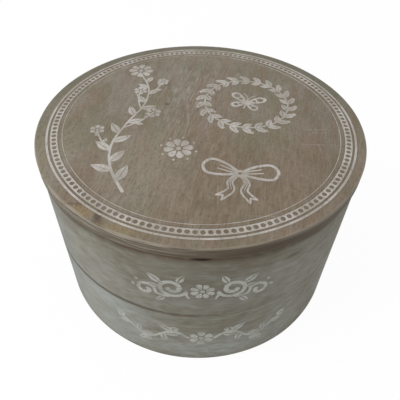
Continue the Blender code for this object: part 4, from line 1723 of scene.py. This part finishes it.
def bow():
    """Two loops with folds, two notched tails and a knot, drawn as lines."""
    shapes = []
    for side in (1, -1):
        shapes += ribbon(bow_line(LOOP_KNOTS, side), *LOOP_LINE)
        for fold in LOOP_FOLDS:
            shapes += ribbon(bow_line(fold, side), *LOOP_FOLD_LINE)
        shapes += bow_tail(side)
    return shapes + [dot(BOW_MIDDLE, BOW_KNOT_RADIUS)]


print_on_lid("printed_bow", bow(), [dot(BOW_MIDDLE, BOW_KNOT_HOLE)])

# %% A rosette
ROSETTE_MIDDLE = (-14, -30)
ROSETTE_RADIUS, ROSETTE_PETALS, ROSETTE_TURN = 9.5, 8, 10
ROSETTE_DOTS_AT, ROSETTE_DOTS_TURN, ROSETTE_DOT_RADIUS = 11.5, 32, 0.8

rosette = flower(ROSETTE_MIDDLE, ROSETTE_RADIUS, ROSETTE_PETALS, ROSETTE_TURN)
for k in range(ROSETTE_PETALS):
    turn = 360 * k / ROSETTE_PETALS + ROSETTE_DOTS_TURN
    middle = place_outline([(ROSETTE_DOTS_AT, 0)], ROSETTE_MIDDLE, turn)[0]
    rosette.append(dot(middle, ROSETTE_DOT_RADIUS, SMALL_DOT_STEPS))
print_on_lid("printed_rosette", rosette)

# %% [markdown]
# ## The ornament on the walls
# The front of each tray carries one pale ornament: mirrored scrolls, about 9 cm wide, on the upper
# tray and a leafy vine, 12 cm wide, on the lower one. They are drawn flat and wrapped round the wall,
# so each drawing is first cut into upright strips 2 mm wide, which can follow the curve.

# %% Scrolls on the upper tray
SCROLL_MIDDLE = (3.5, 88.5)
SCROLL_FLOWER = (7.5, 8, 22.5)
SCROLL_DOTS = (((42, -3), 1.4), ((39.5, 3.5), 1.2))

# Each volute is its middle, its radii and angles at both ends, and the line's widths there.
VOLUTES = (
    ((18, 1.5), 9.0, 2.6, -160, 330, (2.4, 3.2)),
    ((34, -4.5), 6.4, 2.0, 150, -200, (2.2, 3.0)),
)
JOINING_LINES = (
    (((8.0, -8.0), (9.4, -4.0), (9.5, -1.4)), (1.2, 2.4)),
    (((20, -8.0), (27, -6.4), (28.5, -1.6)), (1.6, 2.2)),
)

# Each leaf is its foot, its angle, its length and its width.
SCROLL_LEAVES = (
    ((24.2, 5.2), 42, 11, 5.2),
    ((25.5, 1.2), 6, 8, 4.2),
    ((14.8, 7.4), 118, 9, 4.6),
    ((22.5, -8.4), -50, 9, 4.2),
)
WALL_VEIN = 0.8


def scroll_half():
    """The outlines right of the rosette: two volutes, the lines that join them, leaves and dots."""
    shapes = []
    for *winding, widths in VOLUTES:
        shapes += ribbon(spiral(*winding), *widths)
    for knots, widths in JOINING_LINES:
        shapes += ribbon(curve_through(knots), *widths)
    for at, angle, length, width in SCROLL_LEAVES:
        shapes += leaf(at, angle, length, width, WALL_VEIN)
    return shapes + [dot(at, radius) for at, radius in SCROLL_DOTS]


scrolls = flower((0, 0), *SCROLL_FLOWER)
for side in (1, -1):
    scrolls += [mirrored(shape, side) for shape in scroll_half()]
scrolls = [place_outline(shape, SCROLL_MIDDLE, 0) for shape in scrolls]
print_on_wall("printed_scrolls", scrolls, "upper_tray")

# %% [markdown]
# ## A vine on the lower tray
# The vine's stem is a wave, and its other half is its mirror image. A flower hides where they meet,
# and a tendril curls on the outer side of every bend.

# %% A vine on the lower tray
VINE_MIDDLE = (4.0, 31.0)
VINE_START = 9.0
VINE_END = 58.0
VINE_WAVE = 6.5
VINE_PERIOD = 38.0
VINE_STEPS = 60
VINE_WIDTHS, VINE_LEAVES = (2.6, 1.7), (0.1, 0.95, 8, 13, 6.0, 52)
VINE_FLOWER = (8.5, 6, 30)

# Each tendril is its place along the wall and the side it turns to.
TENDRILS = ((17.5, 1), (36.5, -1), (55.5, 1))
TENDRIL_OUT = 3.1
TENDRIL_RADII, TENDRIL_ANGLES, TENDRIL_WIDTHS = (3.6, 1.4), (-90, 250), (1.6, 1.4)
TENDRIL_DOT = 1.2


def vine_half():
    """The outlines right of the flower: a waving stem with leaves and tendrils."""
    path = []
    for i in range(VINE_STEPS + 1):
        along = (VINE_END - VINE_START) * i / VINE_STEPS
        path.append(Vector((VINE_START + along, VINE_WAVE * math.sin(2 * math.pi * along / VINE_PERIOD))))
    shapes = ribbon(path, *VINE_WIDTHS) + leaves_along(path, *VINE_LEAVES, WALL_VEIN)
    for x, turn in TENDRILS:
        middle = (x, turn * (VINE_WAVE + TENDRIL_OUT))
        angles = [turn * angle for angle in TENDRIL_ANGLES]
        shapes += ribbon(spiral(middle, *TENDRIL_RADII, *angles), *TENDRIL_WIDTHS)
        shapes.append(dot(middle, TENDRIL_DOT, SMALL_DOT_STEPS))
    return shapes


vine = flower((0, 0), *VINE_FLOWER)
for side in (1, -1):
    vine += [mirrored(shape, side) for shape in vine_half()]
vine = [place_outline(shape, VINE_MIDDLE, 0) for shape in vine]
print_on_wall("printed_vine", vine, "base")

# %% [markdown]
# ## The studio
# The object stands on a white floor in soft, even light that comes mostly from above and from the
# left. A brighter lamp could whiten the floor, but it would bleach the wood too. So the floor and the
# sky answer the camera with plain white, keep only a faint shadow, and light the box less than that.

# %% The white floor
FLOOR_SIZE = 6.0
FLOOR_GREY = (0.8, 0.8, 0.8, 1.0)
FLOOR_GLOW = 1.02
FLOOR_GLOW_SHARE = 0.93
WHITE = "#ffffff"


def seen_directly(tree):
    """1 for rays from the camera, a mirror or glass, and 0 for light that bounces."""
    rays = add_node(tree, "LightPath").outputs
    kinds = [rays[kind + " Ray"] for kind in ("Is Camera", "Is Glossy", "Is Transmission")]
    return furthest(tree, kinds, "MAXIMUM")


def white_floor():
    """Plain white to the camera, with a little shadow, and a pale matt floor to all other light."""
    material = bpy.data.materials.new("white_floor")
    material.use_nodes = True
    tree = material.node_tree
    tree.nodes.clear()
    lit = add_node(tree, "BsdfDiffuse", {}, {"Color": FLOOR_GREY})
    bright = add_node(tree, "Emission", {}, {"Color": WHITE, "Strength": FLOOR_GLOW})
    share = weigh(tree, seen_directly(tree), FLOOR_GLOW_SHARE)
    mixed = add_node(tree, "MixShader", {}, {0: share, 1: lit, 2: bright})
    add_node(tree, "OutputMaterial", {}, {"Surface": mixed})
    return material


bpy.ops.mesh.primitive_plane_add(size=FLOOR_SIZE, location=(0, 0, 0))
floor = bpy.context.object
floor.name = "floor"
floor.data.materials.append(white_floor())
print(floor.name, FLOOR_SIZE, "m wide")

# %% Sky and lamp
SKY_LIGHT = 0.665
LAMP_PLACE = (-1000, -350, 800)
LAMP_AIM = (0, 0, 80)
LAMP_SIZE = 900
LAMP_POWER = 8.2

world = bpy.data.worlds.new("studio")
world.use_nodes = True
bpy.context.scene.world = world
sky_tree = world.node_tree
sky_tree.nodes.clear()
levels = {"Value": seen_directly(sky_tree), "To Min": SKY_LIGHT, "To Max": 1.0}
strength = add_node(sky_tree, "MapRange", {}, levels)
sky = add_node(sky_tree, "Background", {}, {"Color": WHITE, "Strength": strength})
add_node(sky_tree, "OutputWorld", {}, {"Surface": sky})

# The lamp is a square one. Its places are in millimetres and its power is in watts.
window = bpy.data.objects.new("window", bpy.data.lights.new("window", "AREA"))
window.data.size = LAMP_SIZE * MM
window.data.energy = LAMP_POWER
window.location = Vector(LAMP_PLACE) * MM
window.rotation_euler = (Vector(LAMP_AIM) - Vector(LAMP_PLACE)).to_track_quat("-Z", "Y").to_euler()
bpy.context.scene.collection.objects.link(window)
bpy.context.scene.view_settings.view_transform = "Standard"
print("lit by the sky and", window.name)
